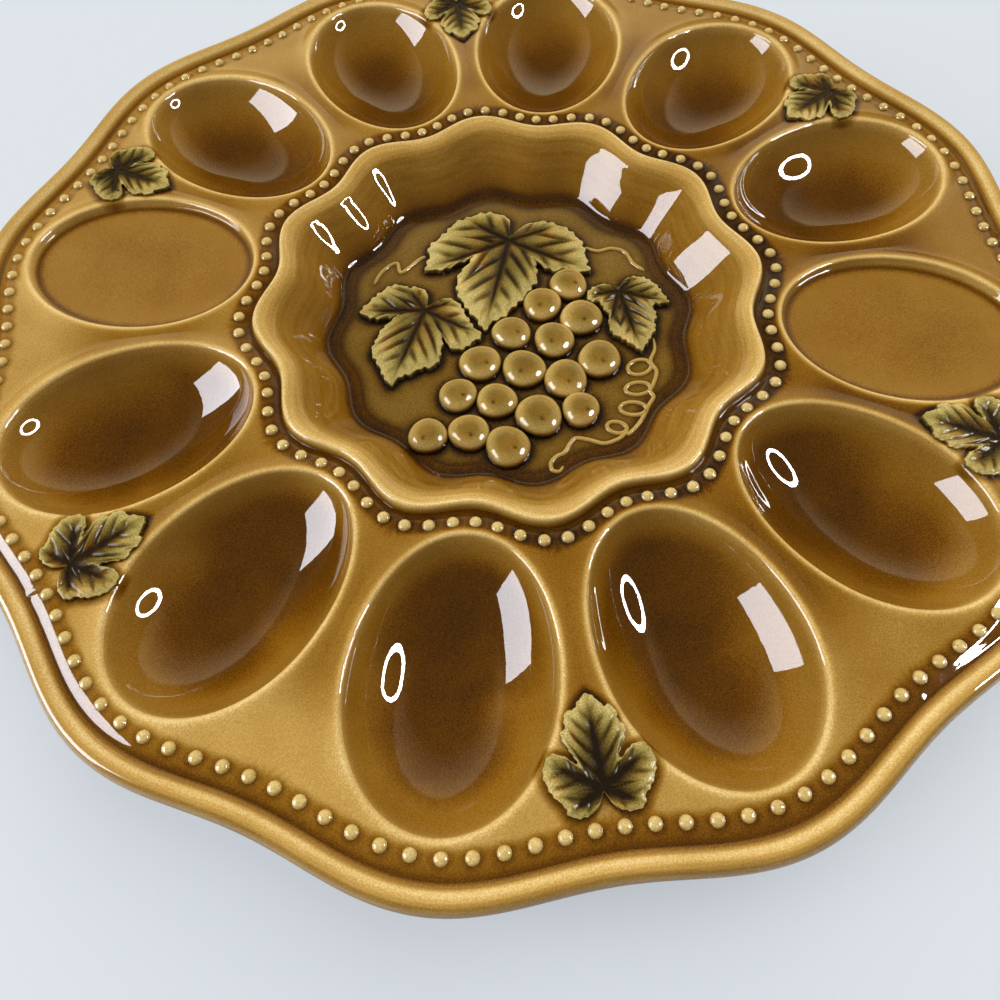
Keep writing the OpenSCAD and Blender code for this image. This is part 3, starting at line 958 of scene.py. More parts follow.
        def flat_rows(radii: Array, wave: Array) -> Array:
            """Rings of the underside's points.

            Args:
                radii: mean radius of each ring.
                wave: how far each ring swings in and out.

            Returns:
                Rings by places round the ring of points.
            """
            points = polar(form.wavy(radii[:, None], wave[:, None], at), at, 0.0)
            points[..., 2] = self.under_height(points[..., 0], points[..., 1])
            return points

        hidden = flat_rows(hidden_r, np.zeros(len(hidden_r)))
        hidden[..., 2] += self.hidden_t
        under = flat_rows(under_r, form.rim_wave * smooth_step(self.wave_from, end_r, under_r))
        roll_rows = polar(form.wavy(roll[:, :1], roll[:, 1:2], at), at, roll[:, 2:3])
        ring_rows = polar(ring[:, :1], at, ring[:, 1:])
        base, more = self.under_pool
        under_pool = base + more * smooth_step(*self.under_pool_band, under[..., 2])
        ring_pool = np.full((len(ring), self.around), self.foot_pool)
        ring_pool[slice(*self.bare_rows)] = self.bare_pool
        pool = roll[:, 3:]
        rising, falling = self.streak_bands
        side = smooth_step(*rising, pool) * smooth_step(*falling, pool)
        roll_pool = pool + self.streak * side * streaks(np.arange(len(roll))[:, None], at)
        hidden_pool = np.full(hidden.shape[:2], self.hidden_pool)
        rows = np.concatenate([hidden, roll_rows, under, ring_rows])
        return ring_skin(rows, np.concatenate([hidden_pool, roll_pool, under_pool, ring_pool]))


def dome_skin(
    around: int, levels: int, base_r: float, height: float, power: float, pool: Callable[[Array], Array]
) -> Skin:
    """A dome on z = 0 with a rounded shoulder, closed by its flat base.

    Args:
        around: points round the dome.
        levels: rings from the top to the base.
        base_r: radius at the base.
        height: height at the middle.
        power: 2 gives half an ellipsoid; more gives a flatter top and steeper sides.
        pool: thickness of the glaze as a function of the angle from the top, in radians.

    Returns:
        The closed skin: (r / base_r)^power + (z / height)^power = 1, with
        r = base_r sin(a)^(2 / power) and z = height cos(a)^(2 / power).
    """
    angle = np.linspace(0, math.pi / 2, levels + 1)[1:]
    share = 2 / power
    ring_r = base_r * np.sin(angle)[:, None] ** share
    z = height * np.clip(np.cos(angle), 0, 1)[:, None] ** share
    glaze = np.broadcast_to(pool(angle)[:, None], (levels, around))
    skin = ring_skin(polar(ring_r, round_bearings(around), z), glaze)
    skin.points[-2] = (0, 0, height)
    skin.pool[-2] = float(pool(np.zeros(1))[0])
    return skin


@dataclass
class BeadRow:
    """A row of small beads that follows a wavy ring."""

    form: PlatterForm
    radius: float
    wave: float
    per_lobe: int
    shade: float = 0.1
    shade_out: float = 1.5 * MM
    shade_in: float = 0.1 * MM
    bead_d: float = 3.4 * MM
    bead_h: float = 1.05 * MM
    sink: float = 0.3 * MM
    around: int = 12
    levels: int = 3
    squareness: float = 2.5
    tint: float = 0.4
    top_pool: float = 0.08
    foot_pool: float = 0.5
    foot_band: tuple[float, float] = (0.85, 1.6)

    @property
    def count(self) -> int:
        """Number of beads in the row."""
        return self.per_lobe * self.form.lobes

    @property
    def start(self) -> float:
        """Where the first bead is, in spacings: an even count leaves the wells' middles free."""
        return 0.5 if self.per_lobe % 2 == 0 else 0.0

    def places(self) -> Array:
        """Centre of each bead, spaced evenly in bearing.

        Returns:
            Rows of x, y and z.
        """
        at = (np.arange(self.count) + self.start) / self.count * TURN
        return polar(self.form.wavy(self.radius, self.wave, at), at, self.form.field_z - self.sink)

    def build(self) -> Skin:
        """One low dome at each place, pale on top and dark where the glaze gathers at its foot.

        Returns:
            All beads as one skin of closed shells.
        """
        bead = dome_skin(
            self.around, self.levels, self.bead_d / 2, self.bead_h + self.sink, self.squareness,
            lambda a: self.top_pool + self.foot_pool * smooth_step(*self.foot_band, a),
        )
        bead.tint = np.full(len(bead.pool), self.tint)
        return Skin.join([replace(bead, points=bead.points + centre) for centre in self.places()])


class LeafKind(Enum):
    """The kinds of leaf: six alike between the wells and three on the bowl's floor."""

    RIM = "rim"
    LARGE = "large"
    LEFT = "left"
    RIGHT = "right"


# Outlines of the leaves from the tip round to the tip: a bearing in degrees from the middle vein
# and a reach as a share of the leaf's length.
LEAF_OUTLINES = {
    LeafKind.RIM: [
        (0, 1), (6, 0.94), (11, 0.86), (16, 0.88), (21, 0.82), (24, 0.73), (30, 0.71), (34, 0.6),
        (35, 0.45), (39, 0.36), (44, 0.42), (45, 0.54), (50, 0.64), (60, 0.67), (71, 0.65), (84, 0.58),
        (97, 0.5), (107, 0.45), (117, 0.46), (128, 0.42), (141, 0.32), (155, 0.2), (170, 0.05),
        (190, 0.05), (205, 0.2), (219, 0.32), (232, 0.42), (243, 0.46), (253, 0.45), (263, 0.5),
        (276, 0.58), (289, 0.65), (300, 0.67), (310, 0.64), (315, 0.54), (316, 0.42), (321, 0.36),
        (325, 0.45), (326, 0.6), (330, 0.71), (336, 0.73), (339, 0.82), (344, 0.88), (349, 0.86), (354, 0.94),
    ],
    LeafKind.LARGE: [
        (0, 1), (4, 0.9), (9, 0.85), (14, 0.76), (19, 0.7), (25, 0.64), (33, 0.56), (40, 0.52),
        (47, 0.42), (56, 0.34), (58, 0.46), (62, 0.55), (67, 0.58), (71, 0.7), (75, 0.79), (80, 0.74),
        (90, 0.69), (101, 0.64), (112, 0.57), (124, 0.49), (138, 0.38), (150, 0.26), (165, 0.06),
        (186, 0.06), (190, 0.24), (203, 0.31), (218, 0.38), (234, 0.43), (247, 0.48), (259, 0.54),
        (270, 0.57), (280, 0.64), (287, 0.71), (297, 0.73), (306, 0.79), (311, 0.66), (312, 0.52),
        (313, 0.4), (316, 0.4), (321, 0.5), (326, 0.62), (333, 0.71), (340, 0.78), (348, 0.85), (354, 0.91),
    ],
    LeafKind.LEFT: [
        (0, 1), (4, 0.88), (11, 0.82), (18, 0.75), (26, 0.74), (32, 0.69), (37, 0.58), (42, 0.5),
        (47, 0.38), (49, 0.46), (50, 0.6), (58, 0.66), (68, 0.67), (79, 0.7), (85, 0.57), (97, 0.46),
        (112, 0.4), (130, 0.35), (146, 0.26), (160, 0.07), (182, 0.07), (191, 0.2), (202, 0.28),
        (216, 0.34), (229, 0.37), (237, 0.46), (248, 0.52), (262, 0.56), (275, 0.61), (288, 0.69),
        (296, 0.6), (301, 0.45), (302, 0.32), (312, 0.42), (321, 0.56), (328, 0.66), (334, 0.77),
        (342, 0.81), (350, 0.89), (355, 0.95),
    ],
    LeafKind.RIGHT: [
        (0, 1), (6, 0.92), (13, 0.84), (21, 0.77), (26, 0.68), (35, 0.62), (46, 0.5), (53, 0.53),
        (60, 0.67), (70, 0.6), (84, 0.53), (98, 0.47), (112, 0.4), (128, 0.32), (143, 0.2), (160, 0.07),
        (190, 0.07), (220, 0.15), (234, 0.27), (250, 0.37), (266, 0.44), (280, 0.42), (289, 0.33),
        (302, 0.34), (316, 0.39), (327, 0.44), (331, 0.6), (338, 0.72), (346, 0.78), (352, 0.85), (356, 0.92),
    ],
}
LEAF_VEINS = {
    LeafKind.RIM: (0, 60, 117, 243, 300),
    LeafKind.LARGE: (0, 75, 124, 247, 306),
    LeafKind.LEFT: (0, 79, 130, 229, 288),
    LeafKind.RIGHT: (0, 60, 128, 266, 331),
}


@dataclass(frozen=True)
class LeafRelief:
    """How a leaf's face is carved and glazed.

    A pair named band holds the two shares of the way from the stem to the outline between
    which a value grows from nothing to full.
    """

    # Valleys over the main veins, as shares of the vein's width: narrow ones in wide ones
    fade_band: tuple[float, float] = (0.62, 0.95)
    valley_w: tuple[float, float] = (1.15, 0.65)
    valley_end: float = 0.2
    wide_w: float = 2.8
    wide_end: float = 0.15
    # Side veins: spacing as a share of the length, slant, bend and reach
    side_pitch: float = 0.2
    side_slant: float = 0.85
    side_bend: float = 1.2
    side_shift: tuple[float, float] = (0.37, 0.45)
    side_power: int = 3
    side_start: float = 0.06
    side_fade_band: tuple[float, float] = (0.72, 1.0)
    edge_band: tuple[float, float] = (0.8, 1.0)
    # How much each of them and the leaf's edge lowers the face
    wide_drop: float = 0.4
    valley_drop: float = 0.06
    side_drop: float = 0.3
    edge_drop: float = 0.3
    # Thickness of the glaze, and what each of them adds
    pool: float = 0.44
    wide_pool: float = 0.38
    valley_pool: float = 0.3
    side_pool: float = 0.52
    thinning: float = 0.34
    thin_band: tuple[float, float] = (0.4, 1.0)
    least_pool: float = 0.06
    stem_pool: float = 0.95
    skirt_pools: tuple[float, ...] = (0.62, 0.86, 0.92)


@dataclass
class VineLeaf:
    """A vine leaf in relief: puffed between valley veins, with a finely toothed edge."""

    kind: LeafKind
    length: float
    height: float
    place: Point
    turn: float
    around: int = 420
    levels: int = 34
    vein_w: float = 0.6 * MM
    # Teeth, as shares of the leaf's length
    tooth: float = 0.012
    tooth_pitch: float = 0.11
    tooth_band: tuple[float, float] = (0.15, 0.4)
    knot_steps: int = 12
    level_power: float = 0.85
    teeth_from: float = 0.7
    skirt_out: tuple[float, float] = (0.15 * MM, 0.32 * MM)
    skirt_h_share: float = 0.5
    under_share: float = 0.5
    sink: float = 0.25 * MM
    look: LeafRelief = LeafRelief()

    def outline(self, toothed: bool) -> Array:
        """The outline in plan about the stem: the listed points rounded, and teeth where asked for.

        The points are joined by a spline in plan and spaced evenly along it. A tooth moves the
        edge along its normal by 0.65 sin p + 0.5 sin(1.5 p + 1) + 0.35 sin(0.5 p + 2), where
        p grows by a full turn for each tooth.

        Args:
            toothed: whether the small teeth are added.

        Returns:
            Rows of x and y, counterclockwise from the tip.
        """
        knots = np.array(LEAF_OUTLINES[self.kind], float)
        bearing = np.radians(knots[:, 0])
        plan = knots[:, 1:] * np.stack([np.cos(bearing), np.sin(bearing)], -1)
        steps = self.knot_steps
        dense = spline_rows(np.vstack([plan[-2:], plan, plan[:3]]), steps)
        dense = dense[2 * steps : (2 + len(plan)) * steps + 1]
        run = np.concatenate([[0], np.cumsum(np.hypot(*np.diff(dense, axis=0).T))])
        along = np.arange(self.around) / self.around * run[-1]
        line = np.stack([np.interp(along, run, dense[:, 0]), np.interp(along, run, dense[:, 1])], -1)
        if toothed:
            way = np.roll(line, -2, 0) - np.roll(line, 2, 0)
            normal = np.stack([way[:, 1], -way[:, 0]], -1) / np.linalg.norm(way, axis=1, keepdims=True)
            count = round(run[-1] / self.tooth_pitch)
            phase = TURN * count * along / run[-1]
            wave = 0.65 * np.sin(phase) + 0.5 * np.sin(phase * 1.5 + 1) + 0.35 * np.sin(phase * 0.5 + 2)
            size = self.tooth * wave * smooth_step(*self.tooth_band, np.hypot(*line.T))
            line = line + normal * size[:, None]
        return line * self.length

    def relief(self, s: Array, at: Array, reach: Array) -> tuple[Array, Array]:
        """Height and glaze of the leaf's face: puffed lobes between soft valleys over the veins.

        Args:
            s: share of the way from the stem to the outline.
            at: bearings.
            reach: distance to the outline.

        Returns:
            Share of the full height, and the pool.
        """
        look = self.look
        away = s * reach
        main = np.full(away.shape, np.inf)
        along, across, shift = (np.zeros(away.shape) for _ in range(3))
        for k, vein in enumerate(np.radians(LEAF_VEINS[self.kind])):
            turn = (at - vein + math.pi) % TURN - math.pi
            beside = away * np.abs(np.sin(turn))
            off = np.where(np.abs(turn) < math.pi / 2, beside, np.inf)
            closer = off < main
            main = np.where(closer, off, main)
            along = np.where(closer, away * np.cos(turn), along)
            across = np.where(closer, beside, across)
            shift = np.where(closer, look.side_shift[0] * k + look.side_shift[1] * (turn > 0), shift)
        main = np.minimum(main, away)
        fade = 1 - smooth_step(*look.fade_band, s)
        valley = bump(main, self.vein_w * (look.valley_w[0] - look.valley_w[1] * s))
        valley = valley * (look.valley_end + (1 - look.valley_end) * fade)
        wide = bump(main, self.vein_w * look.wide_w) * (look.wide_end + (1 - look.wide_end) * fade)
        run = along - look.side_slant * across - look.side_bend * across**2 / self.length
        phase = run / (look.side_pitch * self.length) + shift
        side = 0.5 + 0.5 * np.cos(TURN * phase)
        side = side**look.side_power * smooth_step(0, look.side_start * self.length, across)
        side = side * (1 - smooth_step(*look.side_fade_band, s))
        edge = smooth_step(*look.edge_band, s)
        share = 1 - look.wide_drop * wide - look.valley_drop * valley
        share = share * (1 - look.side_drop * side) * (1 - look.edge_drop * edge**2)
        pool = look.pool + look.wide_pool * wide + look.valley_pool * valley
        pool = pool + look.side_pool * side * (1 - wide) - look.thinning * smooth_step(*look.thin_band, s)
        return share, np.clip(pool, look.least_pool, 1)

    def build(self) -> Skin:
        """Raise the face over its outline, drop its edge to the clay and close it below.

        The rows run from the stem's place outwards: each is a share s of the outline, s being
        the row's share of all rows to level_power, and the teeth come in towards the edge.

        Returns:
            The closed skin, set in its place.
        """
        smooth, toothed = self.outline(False), self.outline(True)
        s = np.linspace(0, 1, self.levels + 1)[1:, None] ** self.level_power
        teeth = (toothed - smooth) * smooth_step(self.teeth_from, 1.0, s)[..., None]
        spread = s[..., None] * (smooth + teeth)
        reach = np.hypot(smooth[:, 0], smooth[:, 1])
        share, pool = self.relief(s, np.arctan2(smooth[:, 1], smooth[:, 0]), reach)
        way = toothed / np.linalg.norm(toothed, axis=1, keepdims=True)
        near, far = self.skirt_out
        skirt = np.stack([toothed + way * near, toothed + way * far, toothed * self.under_share])
        upper = self.height * share[-1] * self.skirt_h_share
        skirt_z = np.stack([upper, *np.full((2, self.around), -self.sink)])
        plan = np.concatenate([spread, skirt])
        z = np.concatenate([self.height * share, skirt_z])
        rows = np.concatenate([plan, z[..., None]], -1)
        skirt_pools = np.array(self.look.skirt_pools)[:, None]
        foot = np.broadcast_to(skirt_pools, (len(skirt), self.around))
        skin = ring_skin(rows, np.concatenate([pool, foot]), 1.0)
        skin.points[-2] = (0, 0, self.height * float(share[0].min()))
        skin.pool[-2] = self.look.stem_pool
        skin.points = turned(skin.points, math.radians(self.turn)) + np.array(self.place)
        return skin

    def plan_outline(self) -> Array:
        """The outline in the platter's plan, where the glaze gathers round the leaf."""
        level = np.pad(self.outline(False), ((0, 0), (0, 1)))
        return (turned(level, math.radians(self.turn)) + np.array(self.place))[:, :2]


@dataclass(frozen=True)
class Grape:
    """One grape: place as shares of the floor's radius, and diameter as a share of it."""

    east: float
    north: float
    across: float


GRAPES = (
    Grape(0.3, 0.3, 0.2), Grape(0.165, 0.14, 0.205), Grape(0.39, 0.07, 0.22), Grape(0.015, -0.08, 0.2),
    Grape(0.255, -0.1, 0.21), Grape(0.51, -0.2, 0.22), Grape(-0.13, -0.3, 0.21), Grape(0.11, -0.31, 0.22),
    Grape(0.34, -0.35, 0.22), Grape(-0.22, -0.52, 0.19), Grape(-0.01, -0.53, 0.2), Grape(0.22, -0.595, 0.23),
    Grape(0.435, -0.535, 0.19), Grape(-0.34, -0.785, 0.19), Grape(-0.13, -0.74, 0.2), Grape(0.08, -0.8, 0.22),
)


@dataclass
class GrapeBunch:
    """The bunch of grapes on the bowl's floor, one object for each grape."""

    form: PlatterForm
    height: float = 4.4 * MM
    widen: float = 1.12
    squareness: float = 2.35
    around: int = 40
    levels: int = 16
    sink: float = 0.3 * MM
    pool: float = 0.5
    # How the glaze changes from the top down, by angles from it
    shoulder_pool: float = -0.34
    shoulder_band: tuple[float, float] = (0.2, 0.95)
    foot_pool: float = 0.85
    foot_band: tuple[float, float] = (1.02, 1.45)
    end_pool: float = 0.45
    end_w: float = 0.45 * MM
    end_at: float = 0.42
    tint: float = 0.5
    circle: int = 24

    def glaze(self, angle: Array) -> Array:
        """The pool by the angle from the top: thin on the shoulder, thick at the foot."""
        shoulder = self.shoulder_pool * smooth_step(*self.shoulder_band, angle)
        return self.pool + shoulder + self.foot_pool * smooth_step(*self.foot_band, angle)

    def skin(self, grape: Grape, index: int) -> Skin:
        """A grape as a squarish dome, slightly out of round, with a small brown end.

        Args:
            grape: its place and size.
            index: its number, which turns its uneven outline and its end.

        Returns:
            The closed skin. With bearing b and number i its radius grows by
            0.03 cos(2 b + 1.7 i) + 0.025 cos(3 b + 2.3 i), and the brown end lies at a
            bearing of -70 + 40 sin(2.1 i) degrees.
        """
        floor_r = self.form.floor_r
        base_r = grape.across * self.widen * floor_r / 2
        dome = dome_skin(
            self.around, self.levels, base_r, self.height + self.sink, self.squareness, self.glaze
        )
        bearing = np.arctan2(dome.points[:, 1], dome.points[:, 0])
        uneven = 1 + 0.03 * np.cos(2 * bearing + 1.7 * index) + 0.025 * np.cos(3 * bearing + 2.3 * index)
        dome.points[:, :2] *= uneven[:, None]
        turn = math.radians(-70 + 40 * math.sin(2.1 * index))
        end = np.array([math.cos(turn), math.sin(turn)]) * self.end_at * base_r
        off = np.hypot(*(dome.points[:, :2] - end).T)
        dome.pool = dome.pool + self.end_pool * bump(off, self.end_w)
        dome.tint = np.full(len(dome.pool), self.tint)
        centre = [grape.east * floor_r, grape.north * floor_r, self.form.floor_z - self.sink]
        dome.points = dome.points + centre
        return dome

    def plan_outline(self) -> Array:
        """Circles of the grapes in the platter's plan.

        Returns:
            Rows of x and y.
        """
        at = round_bearings(self.circle)
        rings = [
            np.stack([g.east + g.across / 2 * np.cos(at), g.north + g.across / 2 * np.sin(at)], -1)
            for g in GRAPES
        ]
        return np.vstack(rings) * self.form.floor_r


@dataclass(frozen=True)
class CurlLoop:
    """One loop of the curled tendril: shares of the floor's radius and a turn in degrees."""

    east: float
    north: float
    half_l: float
    half_w: float
    turn: float


TENDRIL_LEFT = ((-0.82, 0.2), (-0.79, 0.3), (-0.72, 0.37), (-0.68, 0.3), (-0.6, 0.4), (-0.56, 0.44))
TENDRIL_RIGHT = ((0.37, 0.61), (0.45, 0.59), (0.53, 0.62), (0.61, 0.6), (0.66, 0.52), (0.73, 0.47))
CURL_SPINE = (
    (0.8, -0.01), (0.81, -0.09), (0.79, -0.17), (0.825, -0.235), (0.81, -0.32), (0.795, -0.365),
    (0.815, -0.4), (0.79, -0.46), (0.77, -0.52), (0.745, -0.575), (0.7, -0.64), (0.68, -0.64),
    (0.645, -0.68), (0.575, -0.715), (0.505, -0.705), (0.43, -0.7), (0.4, -0.73), (0.375, -0.79),
    (0.335, -0.82), (0.31, -0.86), (0.32, -0.9), (0.355, -0.905), (0.375, -0.87),
)
CURL_LOOPS = (
    CurlLoop(0.732, -0.217, 0.066, 0.047, 27),
    CurlLoop(0.73, -0.357, 0.068, 0.039, 15),
    CurlLoop(0.711, -0.486, 0.07, 0.04, 6),
    CurlLoop(0.632, -0.612, 0.052, 0.034, -6),
)


@dataclass
class Tendrils:
    """The thin raised lines of the vine: two short tendrils and a curled one with loops."""

    form: PlatterForm
    width: float = 1.4 * MM
    rise: float = 0.65 * MM
    sides: int = 10
    knot_steps: int = 7
    loop_points: int = 36
    # How deep the lower half goes, and how the ends are rounded
    sunk: float = 0.35
    end_power: int = 12
    end_least: float = 0.04
    top_pool: float = 0.22
    foot_pool: float = 0.5
    foot_from: float = 0.75
    tint: float = 0.45

    def open_line(self, shares: tuple[tuple[float, float], ...]) -> Array:
        """Round a listed line and scale it to the floor."""
        return spline_rows(np.array(shares, float), self.knot_steps) * self.form.floor_r

    def loop_line(self, loop: CurlLoop) -> Array:
        """An ellipse at the loop's place, turned by its angle.

        Args:
            loop: its place, size and turn.

        Returns:
            Rows of x and y.
        """
        at = round_bearings(self.loop_points)
        tilt = math.radians(loop.turn)
        east, north = loop.half_l * np.cos(at), loop.half_w * np.sin(at)
        x = loop.east + east * math.cos(tilt) - north * math.sin(tilt)
        y = loop.north + east * math.sin(tilt) + north * math.cos(tilt)
        return np.stack([x, y], -1) * self.form.floor_r

    def ridge(self, line: Array, closed: bool) -> Skin:
        """Carry a flattened tube along a line on the floor, its lower half sunk in the clay.

        An open line's tube shrinks at its ends by the root of 1 - |2 t - 1|^end_power, with t
        from 0 to 1 along the line.

        Args:
            line: rows of x and y.
            closed: whether the line's end meets its start.

        Returns:
            The closed skin.
        """
        size = np.full(len(line), 1.0)
        if closed:
            way = np.roll(line, -1, 0) - np.roll(line, 1, 0)
        else:
            way = np.vstack([line[1:], line[-1:]]) - np.vstack([line[:1], line[:-1]])
            run = np.arange(len(line)) / (len(line) - 1)
            size = np.sqrt(np.clip(1 - np.abs(2 * run - 1) ** self.end_power, self.end_least, 1))
        way /= np.linalg.norm(way, axis=1, keepdims=True)
        around = round_bearings(self.sides)
        off = (np.cos(around) * self.width / 2)[None, :] * size[:, None]
        up = (np.sin(around) * self.rise)[None, :] * size[:, None]
        x = line[:, :1] - way[:, 1:] * off
        y = line[:, 1:] + way[:, :1] * off
        z = self.form.floor_z + up * np.where(up > 0, 1, self.sunk)
        rows = np.stack([x, y, z], -1)
        foot = smooth_step(self.foot_from, 0.0, np.sin(around))
        pool = np.broadcast_to(self.top_pool + self.foot_pool * foot, x.shape)
        if not closed:
            return ring_skin(rows[:, ::-1], pool[:, ::-1], self.tint)
        quads = grid_quads(len(line), self.sides, wrap=True)[:, [0, 3, 2, 1]]
        tint = np.full(x.size, self.tint)
        return Skin(rows.reshape(-1, 3), quads, np.zeros((0, 3), int), pool.ravel(), tint)

    def lines(self) -> dict[str, list[tuple[Array, bool]]]:
        """Each tendril's lines and whether they are closed.

        Returns:
            The lines by the name of the tendril's node.
        """
        loops = [(self.loop_line(loop), True) for loop in CURL_LOOPS]
        return {
            "tendril_left": [(self.open_line(TENDRIL_LEFT), False)],
            "tendril_right": [(self.open_line(TENDRIL_RIGHT), False)],
            "tendril_curl": [(self.open_line(CURL_SPINE), False), *loops],
        }

    def plan_outline(self) -> Array:
        """Every point of every line in plan."""
        return np.vstack([line for lines in self.lines().values() for line, _ in lines])


@dataclass(frozen=True)
class GlazeFinish:
    """A glossy see-through glaze over buff clay, told by a ramp from thin to thick.

    A noise has a scale per metre and a detail. Mottle and grain are how much of it is added
    to the pool, patch is how much of it the tint is multiplied by, and ripple bends the gloss.
    """

    name: str
    roughness: float = 0.4
    coat: float = 1.0
    coat_roughness: float = 0.02
    coat_ior: float = 1.5
    mottle: float = 0.18
    mottle_noise: tuple[float, float] = (70, 3)
    grain: float = 0.4
    grain_noise: tuple[float, float] = (2600, 2)
    patch: float = 0.0
    patch_noise: tuple[float, float] = (150, 2)
    ripple: float = 0.12
    ripple_noise: tuple[float, float] = (160, 2)
    ripple_h: float = 0.25 * MM
    shade_below: tuple[float, float] = (2.5 * MM, 1.5 * MM)


BODY_FINISH = GlazeFinish("amber_glaze")
RAISED_FINISH = GlazeFinish("raised_glaze")
LEAF_FINISH = GlazeFinish("leaf_glaze", coat_roughness=0.22, coat=0.35, grain=0.56, mottle=0.28, patch=2.7)
GRAPE_FINISH = GlazeFinish("grape_glaze", mottle=0.24, patch=2.4)
AMBER_RAMP: Stops = [(at, srgb(*colour)) for at, colour in (
    (0.0, (255, 226, 158)),
    (0.2, (215, 173, 95)),
    (0.46, (168, 126, 50)),
    (0.62, (146, 100, 24)),
    (0.8, (107, 65, 8)),
    (0.92, (80, 47, 7)),
    (1.0, (46, 30, 18)),
)]
GREEN_RAMP: Stops = [(at, srgb(*colour)) for at, colour in (
    (0.0, (226, 204, 140)),
    (0.15, (186, 168, 98)),
    (0.35, (142, 124, 60)),
    (0.6, (98, 80, 32)),
    (0.85, (52, 38, 16)),
    (1.0, (34, 25, 14)),
)]

Socket = bpy.types.NodeSocket
Feed = float | Point | Colour | Socket


class NodeKit:
    """Adds nodes to one tree and feeds them with values or other nodes' outputs."""

    def __init__(self, tree: bpy.types.NodeTree) -> None:
        """Keep the tree."""
        self.tree = tree

    def feed(self, node: bpy.types.Node, inputs: dict[int | str, Feed]) -> None:
        """Set a node's inputs: a link where another node's output is given, a value otherwise.

        Args:
            node: the node.
            inputs: values or outputs by the name or number of the input.
        """
        for key, value in inputs.items():
            if isinstance(value, Socket):
                self.tree.links.new(value, node.inputs[key])
            else:
                node.inputs[key].default_value = value

    def add(self, kind: str, inputs: dict[int | str, Feed] | None = None) -> bpy.types.Node:
        """Add a shader node.

        Args:
            kind: its type, without the leading ShaderNode.
            inputs: values or outputs by the name or number of the input.

        Returns:
            The new node.
        """
        node = self.tree.nodes.new(f"ShaderNode{kind}")
        self.feed(node, inputs or {})
        return node

    def math(self, kind: str, *inputs: float | Socket) -> Socket:
        """A math node's output.

        Args:
            kind: the operation's name.
            inputs: its inputs in order.

        Returns:
            The output.
        """
        node = self.add("Math")
        node.operation = kind
        self.feed(node, dict(enumerate(inputs)))
        return node.outputs[0]

    def plus(self, a: float | Socket, b: float | Socket) -> Socket:
        """The sum of two values."""
        return self.math("ADD", a, b)

    def minus(self, a: float | Socket, b: float | Socket) -> Socket:
        """The first value less the second."""
        return self.math("SUBTRACT", a, b)

    def times(self, a: float | Socket, b: float | Socket) -> Socket:
        """The product of two values."""
        return self.math("MULTIPLY", a, b)

    def hypotenuse(self, a: Socket, b: Socket) -> Socket:
        """The root of the sum of two squares."""
        return self.math("SQRT", self.plus(self.times(a, a), self.times(b, b)))

    def centred_share(self, value: Socket) -> Socket:
        """The value less its whole part and less a half, from -0.5 to 0.5."""
        return self.minus(self.math("FRACT", value), 0.5)

    def split(self, vector: Socket) -> tuple[Socket, Socket, Socket]:
        """The x, y and z of a vector."""
        return tuple(self.add("SeparateXYZ", {0: vector}).outputs)

    def span(self, value: Socket, start: float, end: float, low: float, high: float, soft: bool) -> Socket:
        """Map a value's range to another one.

        Args:
            value: the value.
            start: where the result is low.
            end: where the result is high.
            low: result at and before start.
            high: result at and past end.
            soft: whether the slope is rounded at both ends.

        Returns:
            The mapped value.
        """
        node = self.add("MapRange", {0: value, 1: start, 2: end, 3: low, 4: high})
        node.interpolation_type = "SMOOTHSTEP" if soft else "LINEAR"
        return node.outputs[0]

    def noise(self, place: Socket, scale: float, detail: float) -> Socket:
        """Noise around 0.

        Args:
            place: coordinates.
            scale: how fine the noise is, per metre.
            detail: how many finer layers it has.

        Returns:
            The noise, from -0.5 to 0.5.
        """
        node = self.add("TexNoise", {"Scale": scale, "Detail": detail, "Vector": place})
        return self.minus(node.outputs["Fac"], 0.5)

    def ramp(self, stops: Stops, value: Socket) -> Socket:
        """A colour ramp.

        Args:
            stops: position and linear colour of each stop, from 0 to 1.
            value: what picks the colour.

        Returns:
            The picked colour.
        """
        node = self.add("ValToRGB", {0: value})
        elements = node.color_ramp.elements
        elements[0].color, elements[1].color = stops[0][1], stops[-1][1]
        for position, colour in stops[1:-1]:
            elements.new(position).color = colour
        return node.outputs[0]

    def mixed_shader(self, share: Socket, first: Socket, second: Socket) -> Socket:
        """The first shader where share is 0 and the second where it is 1."""
        return self.add("MixShader", {0: share, 1: first, 2: second}).outputs[0]


def new_material(name: str) -> tuple[bpy.types.Material, NodeKit]:
    """Make a material with nodes.

    Args:
        name: its name.

    Returns:
        The material and a kit for its nodes.
    """
    material = bpy.data.materials.new(name)
    material.use_nodes = True
    return material, NodeKit(material.node_tree)


def facing_axes(back: Array) -> tuple[Array, Array]:
    """Axes of something that looks against back and stands upright.

    Args:
        back: the way out of its back, of length 1.

    Returns:
        Its level axis to the right, and its axis upwards.
    """
    right = np.cross([0, 0, 1.0], back)
    right /= np.linalg.norm(right)
    return right, np.cross(back, right)


def pose(right: Array, up: Array, back: Array, at: Point) -> Matrix:
    """A placement from three axes and a place.

    Args:
        right: first axis.
        up: second axis.
        back: third axis.
        at: the place.

    Returns:
        The placement.
    """
    turn = np.eye(4)
    turn[:3, :] = np.stack([right, up, back, at], -1)
    return Matrix(turn.tolist())


